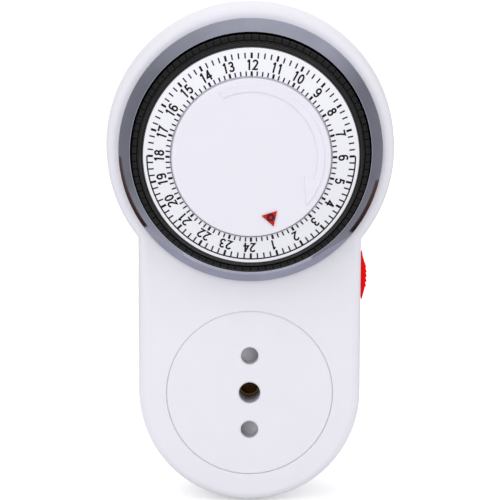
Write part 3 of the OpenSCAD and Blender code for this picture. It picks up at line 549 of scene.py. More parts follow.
def tube(rows: int, columns: int, closed: bool = False) -> list[list[int]]:
    """Numbers the faces of a tube of points, each row of which goes once round it.

    Args:
        rows: Rows of points.
        columns: Points in each row.
        closed: Whether the last row lies on the first. If not, a flat face closes either end.

    Returns:
        The faces, as lists of corners.
    """
    sides = grid_quads(rows, columns, False, True).tolist()
    ends = np.arange(columns) + [[0], [(rows - 1) * columns]]
    return sides if closed else sides + ends.tolist()


def shown(name: str, data: bpy.types.ID) -> Piece:
    """Puts a mesh, lamp or camera into the scene.

    Args:
        name: Name of the new object.
        data: The mesh, lamp or camera.

    Returns:
        The object.
    """
    item = bpy.data.objects.new(name, data)
    bpy.context.scene.collection.objects.link(item)
    return item


def sheet(name: str, points: np.ndarray, rows: int, columns: int) -> bpy.types.Mesh:
    """Makes an open sheet from a grid of points.

    Args:
        name: Name of the mesh.
        points: The points, in the frame's metres.
        rows: Rows of points.
        columns: Points in each row.

    Returns:
        The mesh.
    """
    mesh = bpy.data.meshes.new(name)
    faces = grid_quads(rows, columns, False, False)
    mesh.from_pydata(points.reshape(-1, 3).tolist(), [], faces.tolist())
    return mesh


def merged(name: str, source: bpy.types.Mesh, distance: float, angle: float, turn: bool) -> Piece:
    """Merges a mesh's doubled points and shades its curved faces smooth.

    Args:
        name: Name of the new piece.
        source: The mesh, which stays as it is.
        distance: Points that lie this close are one, in metres.
        angle: Edges that turn further than this stay sharp.
        turn: Whether the faces are turned outwards.

    Returns:
        The piece, not yet riding on anything.
    """
    mesh = bpy.data.meshes.new(name)
    work = bmesh.new()
    work.from_mesh(source)
    bmesh.ops.remove_doubles(work, verts=work.verts, dist=distance)
    if turn:
        bmesh.ops.recalc_face_normals(work, faces=work.faces)
    work.to_mesh(mesh)
    work.free()
    kept = mesh.attributes.get("custom_normal")
    if kept:
        mesh.attributes.remove(kept)
    mesh.materials.clear()
    mesh.shade_smooth()
    mesh.set_sharp_from_angle(angle=math.radians(angle))
    return shown(name, mesh)


def new_piece(name: str, points: np.ndarray, faces: np.ndarray | list, angle: float = SHARP) -> Piece:
    """Makes a piece of points and faces, merged, closed and turned outwards.

    Args:
        name: The piece's name.
        points: Its points, as (x, up, out).
        faces: Its faces, as lists of corners.
        angle: Edges that turn further than this stay sharp.

    Returns:
        The piece, not yet riding on anything.
    """
    raw = bpy.data.meshes.new("raw")
    corners = faces.tolist() if isinstance(faces, np.ndarray) else faces
    raw.from_pydata(in_frame(points).tolist(), [], corners)
    piece = merged(name, raw, MERGE, angle, True)
    bpy.data.meshes.remove(raw)
    return piece


def softened(node: str, angle: float = SHARP, bevel: float = 0.0) -> Piece:
    """Copies a CAD node with its points merged and its curved faces shaded smooth.

    Args:
        node: The node's name.
        angle: Edges that turn further than this stay sharp.
        bevel: Width of the bevel along sharp edges.

    Returns:
        The piece, not yet riding on anything.
    """
    piece = merged(f"{node}_skin", bpy.data.objects[node].data, CAD_MERGE, angle, False)
    if bevel:
        rounded(piece, bevel, angle)
    return piece


def rounded(piece: Piece, width: float, angle: float = SHARP, planes: tuple[float, ...] = ()) -> None:
    """Rounds a piece's sharp edges.

    Args:
        piece: The piece.
        width: Width of the rounding.
        angle: Edges that turn further than this are rounded.
        planes: Where given, only edges that lie at these heights out.
    """
    edge = piece.modifiers.new("edge", "BEVEL")
    edge.width = width * MM
    edge.segments = BEVEL_STEPS
    edge.limit_method = "ANGLE"
    edge.angle_limit = math.radians(angle)
    if planes:
        mesh = piece.data
        place = np.empty(3 * len(mesh.vertices))
        mesh.vertices.foreach_get("co", place)
        ends = np.empty(2 * len(mesh.edges), dtype=int)
        mesh.edges.foreach_get("vertices", ends)
        height = -place[1::3][ends.reshape(-1, 2)] / MM
        sharp = np.zeros(len(mesh.edges), dtype=bool)
        mesh.attributes["sharp_edge"].data.foreach_get("value", sharp)
        level = np.any([np.all(np.abs(height - plane) < LEVEL, axis=1) for plane in planes], axis=0)
        weight = mesh.attributes.new("bevel_weight_edge", "FLOAT", "EDGE")
        weight.data.foreach_set("value", (level & sharp).astype(np.float32))
        edge.limit_method = "WEIGHT"
    edge.harden_normals = True
    edge.use_clamp_overlap = True


@dataclass
class Layout:
    """Places that the frame gives."""

    dial_up: float          # height of the dial's axis
    face: float             # height out of the casing's face
    parting: float          # height out of the line where the two shells meet
    side: float             # half the lower end's width, as far as its round bottom reaches down
    bodies: dict[str, str]  # the body of each node

    @staticmethod
    def box(node: str) -> tuple[np.ndarray, np.ndarray]:
        """Returns a node's lowest and highest (x, up, out)."""
        low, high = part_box(node)
        return (np.array([low.x, low.z, -high.y]) / MM, np.array([high.x, high.z, -low.y]) / MM)

    @classmethod
    def radius(cls, node: str) -> float:
        """Returns half a node's width."""
        low, high = cls.box(node)
        return float(high[0] - low[0]) / 2

    @classmethod
    def read(cls, frame: dict) -> "Layout":
        """Reads the places from the loaded frame.


        Returns:
            The layout.
        """
        ring_low, ring_high = cls.box("bezel_ring")
        case_low, case_high = cls.box("front_casing")
        bodies = {name: node["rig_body"] for name, node in frame["nodes"].items()}
        return cls((ring_low[1] + ring_high[1]) / 2, case_high[2], case_low[2], -case_low[1], bodies)


@dataclass
class SubAssembly:
    """A group of pieces that are made, dressed and put on their bodies together."""

    layout: Layout    # the places that the frame gives
    paint: Paintshop  # the finishes

    def seat(self, piece: Piece, slot: Slot, *nodes: str, body: str = "",
             ink: Ink | None = None) -> Piece:
        """Paints a piece, puts it on its body and hides the nodes that it stands for.

        Args:
            piece: The finished piece.
            slot: The record's slot that it takes its finish from.
            *nodes: CAD nodes that it replaces.
            body: The body that it rides on, where it replaces no node.
            ink: A finish to use instead of the slot's own, either print ink or a colour that paints a
                highlight or shade.

        Returns:
            The piece.
        """
        piece.data.materials.append(self.paint.of(ink or slot))
        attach(piece, body or self.layout.bodies[nodes[0]])
        if nodes:
            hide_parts(*nodes)
        LOG.info("%s is made for %s", piece.name, ", ".join(nodes) or body)
        return piece

    def turned(self, name: str, profile: np.ndarray, steps: int = 192, angle: float = 40) -> Piece:
        """Turns a closed profile about the dial's axis.

        Args:
            name: The piece's name.
            profile: The profile, as (radius, out).
            steps: Steps round the circle.
            angle: Edges that turn further than this stay sharp.

        Returns:
            The piece.
        """
        points, faces = revolved(profile, steps)
        return new_piece(name, points + [0, self.layout.dial_up, 0], faces, angle)


@dataclass
class Casing(SubAssembly):
    """The two shells and the screws that hold them together."""

    seam: float = 0.14        # width of the rounding along the parting line and round the openings
    bend: float = 25.0        # edges of the shells that turn further than this stay sharp
    screw_bend: float = 32.0  # the same for the screws

    def build(self) -> None:
        """Makes the shells and screws."""
        for node in ("front_casing", "rear_casing"):
            shell = softened(node, self.bend)
            rounded(shell, self.seam, planes=(self.layout.parting, self.layout.face))
            shell.modifiers.new("flat_faces", "WEIGHTED_NORMAL").keep_sharp = True
            self.seat(shell, Slot.CASING, node)
        self.seat(softened("case_screws", self.screw_bend), Slot.ZINC, "case_screws")


@dataclass
class PlatedRing(SubAssembly):
    """The mirror-plated ring round the tappets. Its flank falls ever more steeply from the crest."""

    width: float = 3.15    # from the outer edge in to the mouth
    lap: float = 2.1       # width that rests on the casing's face
    lip: float = 0.25      # radius of the rounding at the mouth
    lip_steps: int = 6     # steps along that rounding
    # Slope of the flank at distances out from the mouth.
    slopes: tuple[Point2, ...] = ((0.25, 0), (0.5, 30), (1.1, 50), (2.1, 55.5), (3.0, 58.5))
    flank_steps: int = 48  # points along the flank
    steps: int = 256       # steps round the ring
    bend: float = 50.0     # edges that turn further than this stay sharp

    def flank(self, mouth: float, top: float) -> np.ndarray:
        """Finds the flank. Its slope runs in straight lines between the stations of `slopes`, and
        its height falls by the sum of the slope's tangent over each small step outwards.

        Args:
            mouth: Radius of the mouth.
            top: Height of the crest.

        Returns:
            The flank's points from the crest outwards, as (radius, out).
        """
        at, slope = np.array(self.slopes).T
        reach = np.linspace(at[0], at[-1], self.flank_steps)
        fall = np.tan(np.radians(np.interp(reach, at, slope)))
        drop = np.concatenate([[0], np.cumsum((fall[1:] + fall[:-1]) / 2 * np.diff(reach))])
        return np.stack([mouth + reach, top - drop], axis=-1)

    def build(self) -> None:
        """Makes the ring as one smooth revolved profile."""
        low, high = self.layout.box("bezel_ring")
        outer, face, top = self.layout.radius("bezel_ring"), self.layout.face, float(high[2])
        mouth, skirt = outer - self.width, outer - self.lap
        flank = self.flank(mouth, top)
        profile = np.vstack([
            [(outer, face), (skirt, face), (skirt, low[2]), (mouth, low[2])],
            arc((mouth + self.lip, top - self.lip), self.lip, self.lip, 180, 90, self.lip_steps)[:-1],
            flank, [(outer, flank[-1, 1] - self.lip)]])
        self.seat(self.turned("plated_ring", profile, self.steps, self.bend), Slot.CHROME, "bezel_ring")


@dataclass
class Tappets(SubAssembly):
    """The circle of 96 tappets and the carrier that they slide in."""

    edge: float = 0.12             # width of the tappets' rounded edges
    rim_r: float = 28.1            # radius of the carrier's lowest ridge
    rim_h: float = 6.9             # height of the carrier's rim above the casing's face
    seat_r: float = 26.73          # inner radius of the rim
    # How far each ridge lies in from the lowest one, its height and its rounding.
    ridges: tuple[Point, ...] = (
        (0.0, 0.8, 0.26), (0.32, 1.6, 0.1), (0.63, 2.4, 0.1), (0.95, 3.2, 0.3))
    # How far the ridges' rounded skin lies outside the carrier's own steps.
    cover: float = 0.03
    brim: float = 0.16             # how far the lowest ridge reaches out towards the tappets' tips
    crest: Point2 = (0.13, 0.012)  # width and height of the painted highlight line along each ridge
    core_w: float = 0.2            # how far the rim's inner part reaches out from its seat
    core_h: float = 2.4            # how high that part starts above the rim's foot
    cut_steps: int = 4             # points on each rounding
    steps: int = 256               # steps round the rim
    bend: float = 60.0             # edges of the rim that turn further than this stay sharp

    def build(self) -> None:
        """Makes every tappet node and the carrier with its ridges."""
        nodes = [n for n in self.layout.bodies if n.startswith("tappet") and n != "tappet_carrier"]
        for node in sorted(nodes):
            self.seat(softened(node, bevel=self.edge), Slot.TAPPET, node)
        self.seat(softened("tappet_carrier"), Slot.CARRIER, "tappet_carrier")
        foot = self.layout.face + self.rim_h
        inner, outer = self.seat_r + self.core_w, self.rim_r + self.brim
        edges = [outer] + [self.rim_r - inset + self.cover for inset, _, _ in self.ridges[1:]]
        corners, crests = [(inner, foot, 0), (outer, foot, 0)], []
        for edge, end, (_, rise, cut) in zip(edges, [*edges[1:], self.seat_r], self.ridges):
            high = foot + rise + self.cover
            corners += [(edge, high, cut), (end, high, 0)]
            crests.append((edge - cut, high))
        corners += [(self.seat_r, foot + self.core_h, 0), (inner, foot + self.core_h, 0)]
        rim = self.turned("carrier_ridges", filleted(corners, self.cut_steps), self.steps, self.bend)
        self.seat(rim, Slot.CARRIER, body="dial")
        self.wear(crests)

    def wear(self, crests: list[Point2]) -> None:
        """Lays a thin lighter line along each ridge: a painted highlight where the crest catches the
        light.

        Args:
            crests: Outer edge of each line, as (radius, out).
        """
        width, rise = self.crest
        points, faces, count = [], [], 0
        for radius, high in crests:
            ring, quads = revolved(np.array([(radius - width, high - rise), (radius, high - rise),
                                             (radius, high + rise), (radius - width, high + rise)]),
                                   self.steps)
            points.append(ring + [0, self.layout.dial_up, 0])
            faces.append(quads + count)
            count += len(ring)
        self.seat(new_piece("ridge_crest_highlights", np.vstack(points), np.vstack(faces)), Slot.CARRIER,
                  body="dial", ink=Ink.CREST)


@dataclass(frozen=True)
class Numerals:
    """Condensed upright numerals, drawn with a pen of one width along lines and arcs."""

    height: float = 2.52        # height of a numeral
    width: float = 1.46         # width of a wide numeral
    pen: float = 0.43           # width of the pen
    pitch: float = 1.64         # from one wide numeral's middle to the next
    after_one: float = 1.46     # from the stem of a 1 to the next numeral's middle
    flag: Point2 = (0.5, 0.48)  # reach and drop of the flag of a 1
    # Least cosine of a corner's half turn at which the stroke still keeps its width.
    mitre: float = 0.5
    steps: int = 16             # steps along each arc

    def bow(self, up: float, reach: float, rise: float, start: float, end: float) -> np.ndarray:
        """Points along an upright ellipse about (0, up), from one bearing to another."""
        return arc((0, up), reach, rise, start, end, self.steps)

    def bend(self, start: Point2, pull: Point2, end: Point2) -> np.ndarray:
        """Points along a curve from start to end that bends towards the pull."""
        t = np.linspace(0, 1, self.steps + 1)[:, None]
        return curve(np.array(start), np.array(pull), np.array(end), t)

    def paths(self, digit: str) -> list[np.ndarray]:
        """Gives the pen's paths for a digit.

        A numeral's middle is (0, 0), a is the pen's reach to either side and b its reach up and
        down. Shares of the two place every bowl and stroke.

        Args:
            digit: One character, 0 to 9.

        Returns:
            The paths, as (across, along) about the digit's middle.
        """
        a, b, edge = (self.width - self.pen) / 2, (self.height - self.pen) / 2, self.height / 2
        small, large = 0.45 * b, 0.55 * b      # half heights of the upper and lower bowls
        reach, drop = self.flag
        if digit == "0":
            return [self.bow(0, a, b, 0, 360)]
        if digit == "1":
            flag = self.bend((-reach, edge - drop), (-0.1, edge - drop * 0.85), (0, edge))
            return [np.array([(0, -edge), (0, edge)]), flag]
        if digit == "2":
            bowl = self.bow(b - a, a, a, 165, -25)
            tail = self.bend(tuple(bowl[-1]), (a * 0.35, -0.3 * b), (-a, -b))
            return [np.vstack([bowl, tail[1:], [(a + 0.1, -b)]])]
        if digit == "3":
            upper = self.bow(b - small, a * 0.88, small, 160, -75)
            lower = self.bow(large - b, a, large, 75, -160)
            return [upper, lower, np.array([(-0.2, 0.1 * b), (0.2, 0.1 * b)])]
        if digit == "4":
            stem = a * 0.42
            return [np.array([(stem, -edge), (stem, edge)]),
                    np.array([(stem, edge - 0.12), (-a - 0.04, -0.4 * b), (a + 0.18, -0.4 * b)])]
        if digit == "5":
            bowl = self.bow(0.6 * b - b, a, 0.6 * b, 128, -155)
            return [np.vstack([[(a * 0.85, b), (-a * 0.66, b), (-a * 0.86, 0.06 * b)], bowl])]
        if digit == "7":
            stroke = self.bend((a, b), (0.02, 0.25 * b), (-0.14, -edge))
            return [np.vstack([[(-a - self.pen / 2, b)], stroke])]
        if digit == "8":
            upper = self.bow(b - small, a * 0.86, small, 0, 360)
            return [upper, self.bow(large - b, a, large, 0, 360)]
        bowl, hook = 0.58 * b, 0.5 * b
        six = [self.bow(bowl - b, a, bowl, 0, 360),
               np.vstack([[(-a, bowl - b)], self.bow(b - hook, a, hook, 180, 28)])]
        return six if digit == "6" else [-path for path in six]

    def inked(self, path: np.ndarray) -> np.ndarray:
        """Finds both edges of a pen stroke.

        At each point the edges lie half a pen to either side, square to the mean of the two
        directions that meet there, and further out at a corner so that the stroke keeps its width.

        Args:
            path: The pen's path, as (across, along).

        Returns:
            The left and the right edge of each point of the path.
        """
        step = np.diff(path, axis=0)
        step /= np.linalg.norm(step, axis=1, keepdims=True)
        closed = np.allclose(path[0], path[-1])
        before = np.vstack([step[-1:] if closed else step[:1], step])
        after = np.vstack([step, step[:1] if closed else step[-1:]])
        mean = before + after
        mean /= np.linalg.norm(mean, axis=1, keepdims=True)
        square = np.stack([-mean[:, 1], mean[:, 0]], axis=-1)
        spread = np.clip((mean * after).sum(axis=1, keepdims=True), self.mitre, 1)
        half = square * self.pen / 2 / spread
        return np.stack([path + half, path - half], axis=1)

    def number(self, text: str) -> list[np.ndarray]:
        """Sets a number's digits side by side.

        Args:
            text: The number.

        Returns:
            The edges of each stroke, about the middle of the whole number.
        """
        strokes, at = [], 0.0
        for digit, following in zip(text, [*text[1:], ""]):
            strokes += [self.inked(path) + [at, 0] for path in self.paths(digit)]
            at += (self.after_one if digit == "1" else self.pitch) if following else 0
        every = np.vstack([stroke.reshape(-1, 2) for stroke in strokes])
        middle = (every[:, 0].min() + every[:, 0].max()) / 2
        return [stroke - [middle, 0] for stroke in strokes]


@dataclass
class NumberDial(SubAssembly):
    """The white cone with its printed hours, quarter-hour ticks and night arc."""

    width: float = 6.7                    # from the outer edge in to the bore
    edge: float = 0.3                     # size of the rounding at the outer edge
    bore_edge: float = 0.2                # the same at the bore
    cone_rise: float = 2.5                # height that the cone gains towards the bore
    thickness: float = 1.6                # thickness of the cone
    foot_w: float = 1.3                   # width of the flat underside
    foot_rise: float = 0.4                # how much thinner the cone is over it
    print_t: float = 0.03                 # thickness of the ink
    # Share by which each stroke of a number lies above the one before.
    overlap: float = 0.1
    hours: int = 24                       # hours round the dial
    quarters: int = 4                     # ticks to an hour
    midnight: float = -90.0               # bearing of hour 24
    inner_ticks: Point2 = (20.02, 21.12)  # radii of the ends of the inner ticks
    outer_ticks: Point2 = (24.2, 25.55)   # radii of the ends of the outer ticks
    thick: float = 0.55                   # width of a tick on the hour
    thin: float = 0.35                    # width of the other ticks
    digit_r: float = 22.65                # radius of the numerals' middles
    digit_turn: float = -0.65             # how far the numerals stand off their ticks
    numerals: Numerals = Numerals()
    night: Point2 = (-180.0, 0.0)         # bearings of the night arc's ends
    night_w: float = 0.34                 # width of the night arc
    night_steps: int = 120                # steps along it
    outer: float = field(init=False, default=0.0)  # radius of the outer edge, which the frame gives
    top: float = field(init=False, default=0.0)    # height out of the bore's edge, likewise

    @property
    def bore(self) -> float:
        """Radius of the hole that the cap fills."""
        return self.outer - self.width

    def build(self) -> None:
        """Makes the ring, then prints it."""
        low, high = self.layout.box("dial_ring")
        self.outer, self.top = self.layout.radius("dial_ring"), float(high[2])
        brim, foot = self.top - self.cone_rise, self.outer - self.foot_w
        profile = filleted([
            (foot, low[2], 0), (self.outer, low[2], 0), (self.outer, brim, self.edge),
            (self.bore, self.top, self.bore_edge), (self.bore, self.top - self.thickness, 0),
            (foot, brim - self.thickness + self.foot_rise, 0)])
        self.seat(self.turned("number_ring", profile), Slot.DIAL, "dial_ring")
        self.print_ticks()
        self.print_numbers()
        self.print_night()

    def on_cone(self, radius: np.ndarray, bearing: np.ndarray, lift: np.ndarray) -> np.ndarray:
        """Points on the cone, whose height falls in a straight line from the bore to the edge.

        Args:
            radius: Distance from the dial's axis.
            bearing: Bearing from +x.
            lift: Height above the cone.

        Returns:
            The points as (x, up, out), in one list.
        """
        height = self.top - self.cone_rise * (radius - self.bore) / self.width + lift
        return circling(radius, bearing, height, self.layout.dial_up).reshape(-1, 3)

    def ink(self, name: str, points: np.ndarray, faces: np.ndarray | list) -> None:
        """Puts a print of thin solids on the dial."""
        self.seat(new_piece(name, points, faces), Slot.CARRIER, body="dial", ink=Ink.DIAL)

    def bars(self, name: str, bearing: np.ndarray, ends: Point2, width: np.ndarray) -> None:
        """Prints radial bars.

        Each is a small block: its width across, from end to end along, the ink's thickness up.

        Args:
            name: Name of the print.
            bearing: Bearing of each bar.
            ends: Radius of the inner and of the outer ends.
            width: Width of each bar.
        """
        side = np.array([-1, 1, 1, -1] * 2)[None, :]
        far = np.array([0, 0, 1, 1] * 2)[None, :]
        lift = np.array([-1] * 4 + [1] * 4)[None, :] * self.print_t
        radius = ends[0] + far * (ends[1] - ends[0])
        turn = np.degrees(side * width[:, None] / 2 / radius)
        faces = np.array(tube(2, 4)) + 8 * np.arange(len(bearing))[:, None, None]
        self.ink(name, self.on_cone(radius, bearing[:, None] + turn, lift), faces.reshape(-1, 4))

    def print_ticks(self) -> None:
        """Prints both circles of ticks, thick on the hours."""
        count = self.hours * self.quarters
        index = np.arange(count)
        bearing = self.midnight + index * 360 / count
        width = np.where(index % self.quarters == 0, self.thick, self.thin)
        self.bars("inner_ticks", bearing, self.inner_ticks, width)
        self.bars("outer_ticks", bearing, self.outer_ticks, width)

    def print_numbers(self) -> None:
        """Prints the hours 1 to 24, with their tops outwards. Each stroke is a thin band of ink."""
        points, faces, start = [], [], 0
        for hour in range(1, self.hours + 1):
            bearing = self.midnight + self.digit_turn + hour * 360 / self.hours
            for layer, edges in enumerate(self.numerals.number(str(hour))):
                across, along = np.moveaxis(edges[:, [0, 1, 1, 0]], -1, 0)
                high = self.print_t * (1 + self.overlap * layer)
                lift = np.array([-self.print_t, -self.print_t, high, high])[None, :]
                radius = np.hypot(self.digit_r + along, across)
                turn = np.degrees(np.arctan2(across, self.digit_r + along))
                points.append(self.on_cone(radius, bearing - turn, lift))
                closed = np.allclose(edges[0], edges[-1])
                faces.append(np.array(tube(len(edges), 4, closed)) + start)
                start += 4 * len(edges)
        self.ink("hour_numbers", np.vstack(points), np.vstack(faces))

    def print_night(self) -> None:
        """Prints the arc over the night hours, which joins the outer ticks."""
        bearing = np.linspace(*self.night, self.night_steps + 1)[:, None]
        section = np.array([[0, -1], [1, -1], [1, 1], [0, 1]]) * np.array([self.night_w, self.print_t])
        radius = self.outer_ticks[1] - self.print_t + section[None, :, 0]
        points = self.on_cone(radius, bearing, section[None, :, 1])
        self.ink("night_arc", points, tube(len(bearing), 4))


@dataclass
class CentreCap(SubAssembly):
    """The fixed cap with its raised turning arrow and the red time pointer."""

    edge: float = 0.4                # size of the cap's rounded edge
    thickness: float = 1.6           # thickness of the cap
    skirt: Point2 = (0.8, 2.2)       # width and length of the skirt behind its edge
    # Reach and depth of the skirt's sill, which closes the gap to the dial.
    sill: Point2 = (0.33, 1.9)
    sill_edge: float = 0.05          # size of the sill's rounded edge
    hub_r: float = 5.0               # radius of the boss behind the cap
    spigot_r: float = 1.5            # radius of the spigot in the post
    relief: float = 0.35             # height of the arrow and the pointer above the cap
    tail: float = 116.0              # bearing of the arrow's tail
    shoulder: float = -19.0          # bearing where its head starts
    tip: float = -41.0               # bearing of its tip
    band: Point2 = (0.83, 0.92)      # radii of the arrow's band, as shares of the cap's
    barb: float = 0.705              # radius of the head's inner corner, as a share
    band_steps: tuple[int, int] = (84, 72)  # steps along the band's outer and inner edge
    arrow_edge: float = 0.12         # width of the arrow's rounded edges
    # Edges of the arrow that turn further than these stay sharp, and are rounded.
    arrow_bends: Point2 = (35.0, 40.0)
    pointer_edge: float = 0.08       # width of the pointer's rounded edges
    pointer_at: float = -72.0        # bearing of the pointer
    pip_at: float = 15.6             # radius of the pip's middle
    pip_ring: Point2 = (0.28, 1.05)  # radii of the dark ring round the pip, which is painted shade in its groove
    pip_rise: Point2 = (0.05, 0.03)  # how far that ring reaches into the cap and out of it
    pip_steps: int = 40              # steps round it

    def build(self) -> None:
        """Makes the cap, its arrow and the pointer."""
        low, high = self.layout.box("centre_cap")
        radius, top = self.layout.radius("centre_cap"), float(high[2]) - self.relief
        back, post = top - self.thickness, float(self.layout.box("gear_plate")[1][2])
        inside, end = radius - self.skirt[0], back - self.skirt[1]
        reach, ledge = radius + self.sill[0], top - self.sill[1]
        profile = filleted([
            (0, top, 0), (radius, top, self.edge), (radius, ledge, 0), (reach, ledge, self.sill_edge),
            (reach, end, 0), (inside, end, 0), (inside, back, 0), (self.hub_r, back, 0),
            (self.hub_r, post, 0), (self.spigot_r, post, 0),
            (self.spigot_r, low[2], 0), (0, low[2], 0)])
        self.seat(self.turned("cap_disc", profile), Slot.CAP, "centre_cap")
        self.arrow(radius, top)
        self.pointer(top)

    def arrow(self, radius: float, top: float) -> None:
        """Raises the arrow: an arc of a band, and a head whose outer edge follows the same circle.

        Args:
            radius: The cap's radius.
            top: Height out of the cap's face.
        """
        inner, outer, barb = (share * radius for share in (*self.band, self.barb))
        there, back = self.band_steps
        outline = np.vstack([arc((0, 0), outer, outer, self.tail, self.tip, there),
                             arc((0, 0), barb, barb, self.shoulder, self.shoulder, 0),
                             arc((0, 0), inner, inner, self.shoulder, self.tail, back)])
        ends = np.array([top - self.relief, top + self.relief])[:, None]
        points = joined(outline[None, :, 0], outline[None, :, 1] + self.layout.dial_up, ends)
        piece = new_piece("turning_arrow", points.reshape(-1, 3), tube(2, len(outline)),
                          self.arrow_bends[0])
        rounded(piece, self.arrow_edge, self.arrow_bends[1])
        self.seat(piece, Slot.CAP, body="root")

    def pointer(self, top: float) -> None:
        """Makes the red triangle, and sinks the dark ring of painted shade into it round its pip.

        Args:
            top: Height out of the cap's face.
        """
        self.seat(softened("time_pointer", bevel=self.pointer_edge), Slot.POINTER, "time_pointer")
        small, large = self.pip_ring
        low, high = top - self.pip_rise[0], top + self.pip_rise[1]
        section = np.array([[small, low], [large, low], [large, high], [small, high]])
        points, faces = revolved(section, self.pip_steps)
        middle = circling(self.pip_at, self.pointer_at, 0.0, self.layout.dial_up)
        ring = new_piece("pip_groove_shade", points + middle, faces)
        self.seat(ring, Slot.POINTER, body="root", ink=Ink.RING)


@dataclass
class Override(SubAssembly):
    """The red slide on the side, whose grip follows the side wall closely."""

    edge: float = 0.12           # width of its rounded edges
    pad_l: float = 11.6          # length of the pad under the grip
    pad_w: float = 2.4           # half the pad's width
    pad_t: float = 0.3           # thickness of the pad at the parting line
    lean: Point2 = (0.09, 0.24)  # how far the wall draws in at the pad's front and back edge
    gap: float = 0.06            # clearance between the pad and the wall

    def build(self) -> None:
        """Makes the slide and the pad under its grip, which is a section carried up the wall."""
        self.seat(softened("override_slide", bevel=self.edge), Slot.SLIDE, "override_slide")
        low, high = self.layout.box("override_slide")
        wall, out = self.layout.side + self.gap, self.layout.parting
        top, front, back = wall + self.pad_t, out + self.pad_w, out - self.pad_w
        section = np.array([(wall, out), (wall - self.lean[0], front), (top, front), (top, back),
                            (wall - self.lean[1], back)])
        ends = (low[1] + high[1]) / 2 + np.array([-0.5, 0.5])[:, None] * self.pad_l
        points = joined(section[None, :, 0], ends, section[None, :, 1]).reshape(-1, 3)
        self.seat(new_piece("grip_pad", points, tube(2, len(section))), Slot.SLIDE, body="override")


@dataclass(frozen=True)
class Group:
    """Nodes that are copied and painted alike."""

    slot: Slot              # their slot
    nodes: tuple[str, ...]  # their names
    bend: float = SHARP     # edges that turn further than this stay sharp
    bevel: float = 0.0      # width of the bevel along sharp edges


@dataclass
class Copied(SubAssembly):
    """Pieces that the frame already shapes. Each gets a smooth copy and its finish."""

    groups: tuple[Group, ...] = ()  # the pieces

    def build(self) -> None:
        """Copies and paints every node."""
        for group in self.groups:
            for node in group.nodes:
                self.seat(softened(node, group.bend, group.bevel), group.slot, node)


@dataclass
class Outlet(Copied):
    """The socket insert, its shutter and the contacts behind it."""

    insert_bend: float = 25.0  # edges of the insert that turn further than this stay sharp
    groups: tuple[Group, ...] = (
        Group(Slot.SHUTTER, ("socket_shutter",), bevel=0.08),
        Group(Slot.BRASS, ("line_contacts", "earth_contact")),
        Group(Slot.SPRING, ("shutter_spring",), bend=60),
    )

    def build(self) -> None:
        """Makes the insert, whose holes get painted shade that darkens inwards, and then the rest."""
        self.seat(softened("socket_face", self.insert_bend), Slot.CASING, "socket_face", ink=Ink.SOCKET)
        super().build()


@dataclass
class Plug(Copied):
    """The plug face on the back, with its three pins."""

    groups: tuple[Group, ...] = (
        Group(Slot.CASING, ("plug_base",)),
        Group(Slot.PIN, ("line_pins", "earth_pin"), bevel=0.1),
        Group(Slot.SLEEVE, ("pin_sleeves",)),
    )


@dataclass
class Works(Copied):
    """The motor, gear train, clutch, switch and leads inside the casing."""

    groups: tuple[Group, ...] = (
        Group(Slot.PLATE, ("gear_plate",)),
        Group(Slot.ZINC, ("motor_cup", "motor_plate", "plate_screws", "lever_pin")),
        Group(Slot.MAGNET, ("motor_rotor",)),
        Group(Slot.COIL, ("motor_coil",)),
        Group(Slot.ARBOR, ("train_arbors",)),
        Group(Slot.GEAR, ("wheel_1", "wheel_2", "wheel_3", "wheel_4", "wheel_5")),
        Group(Slot.GEAR, ("dial_pinion", "follower_lever")),
        Group(Slot.SPRING, ("clutch_spring",)),
        Group(Slot.SWITCH, ("switch_case",)),
        Group(Slot.BRASS, ("switch_terminals",)),
        Group(Slot.PLUNGER, ("switch_plunger",)),
        Group(Slot.LEAD_BROWN, ("supply_lead", "load_lead")),
        Group(Slot.LEAD_BLUE, ("motor_leads",)),
    )


# ---- Studio ----

@dataclass(frozen=True)
class View:
    """The camera."""

    target: Point = (-0.05, 36.65, 37.0)  # the point that it looks at
    distance: float = 800.0               # how far it stands from there
    azimuth: float = -0.75                # its bearing, to the right of straight ahead
    elevation: float = 9.370              # how far it looks down
    roll: float = 0.254                   # how far it is tipped to the side
    focal: float = 6.3752                 # focal length as a share of the picture's side
    sensor: float = 36.0                  # side of the sensor
    near: float = 0.01                    # nearest distance that shows, in metres

    def place(self) -> None:
        """Makes the camera and gives it to the scene."""
        a, e, r = (math.radians(v) for v in (self.azimuth, self.elevation, self.roll))
        back = Vector((math.sin(a) * math.cos(e), -math.cos(a) * math.cos(e), math.sin(e)))
        right = (-back).cross(Vector((0, 0, 1))).normalized()
        up = right.cross(-back)
        level_right = math.cos(r) * right + math.sin(r) * up
        level_up = -math.sin(r) * right + math.cos(r) * up
        turned = Matrix((level_right, level_up, back)).transposed().to_4x4()
        turned.translation = Vector(in_frame(np.array(self.target))) + self.distance * MM * back
        lens = bpy.data.cameras.new("view_camera")
        lens.sensor_width = self.sensor
        lens.lens = self.focal * self.sensor
        lens.clip_start = self.near
        camera = shown("view_camera", lens)
        camera.matrix_world = turned
        bpy.context.scene.camera = camera


@dataclass(frozen=True)
class Lamp:
    """A square soft lamp that gloss doesn't see."""

    name: str
    at: Point     # where it hangs, in the frame's metres
    side: float   # its side, in metres
    power: float  # its power, in watts

    def place(self, target: Point) -> None:
        """Hangs the lamp.

        Args:
            target: The point that it is turned to, in the frame's metres.
        """
        light = bpy.data.lights.new(self.name, "AREA")
        light.size = self.side
        light.energy = self.power
        lamp = shown(self.name, light)
        lamp.visible_glossy = False
        lamp.location = self.at
        lamp.rotation_euler = (Vector(target) - Vector(self.at)).to_track_quat("-Z", "Y").to_euler()


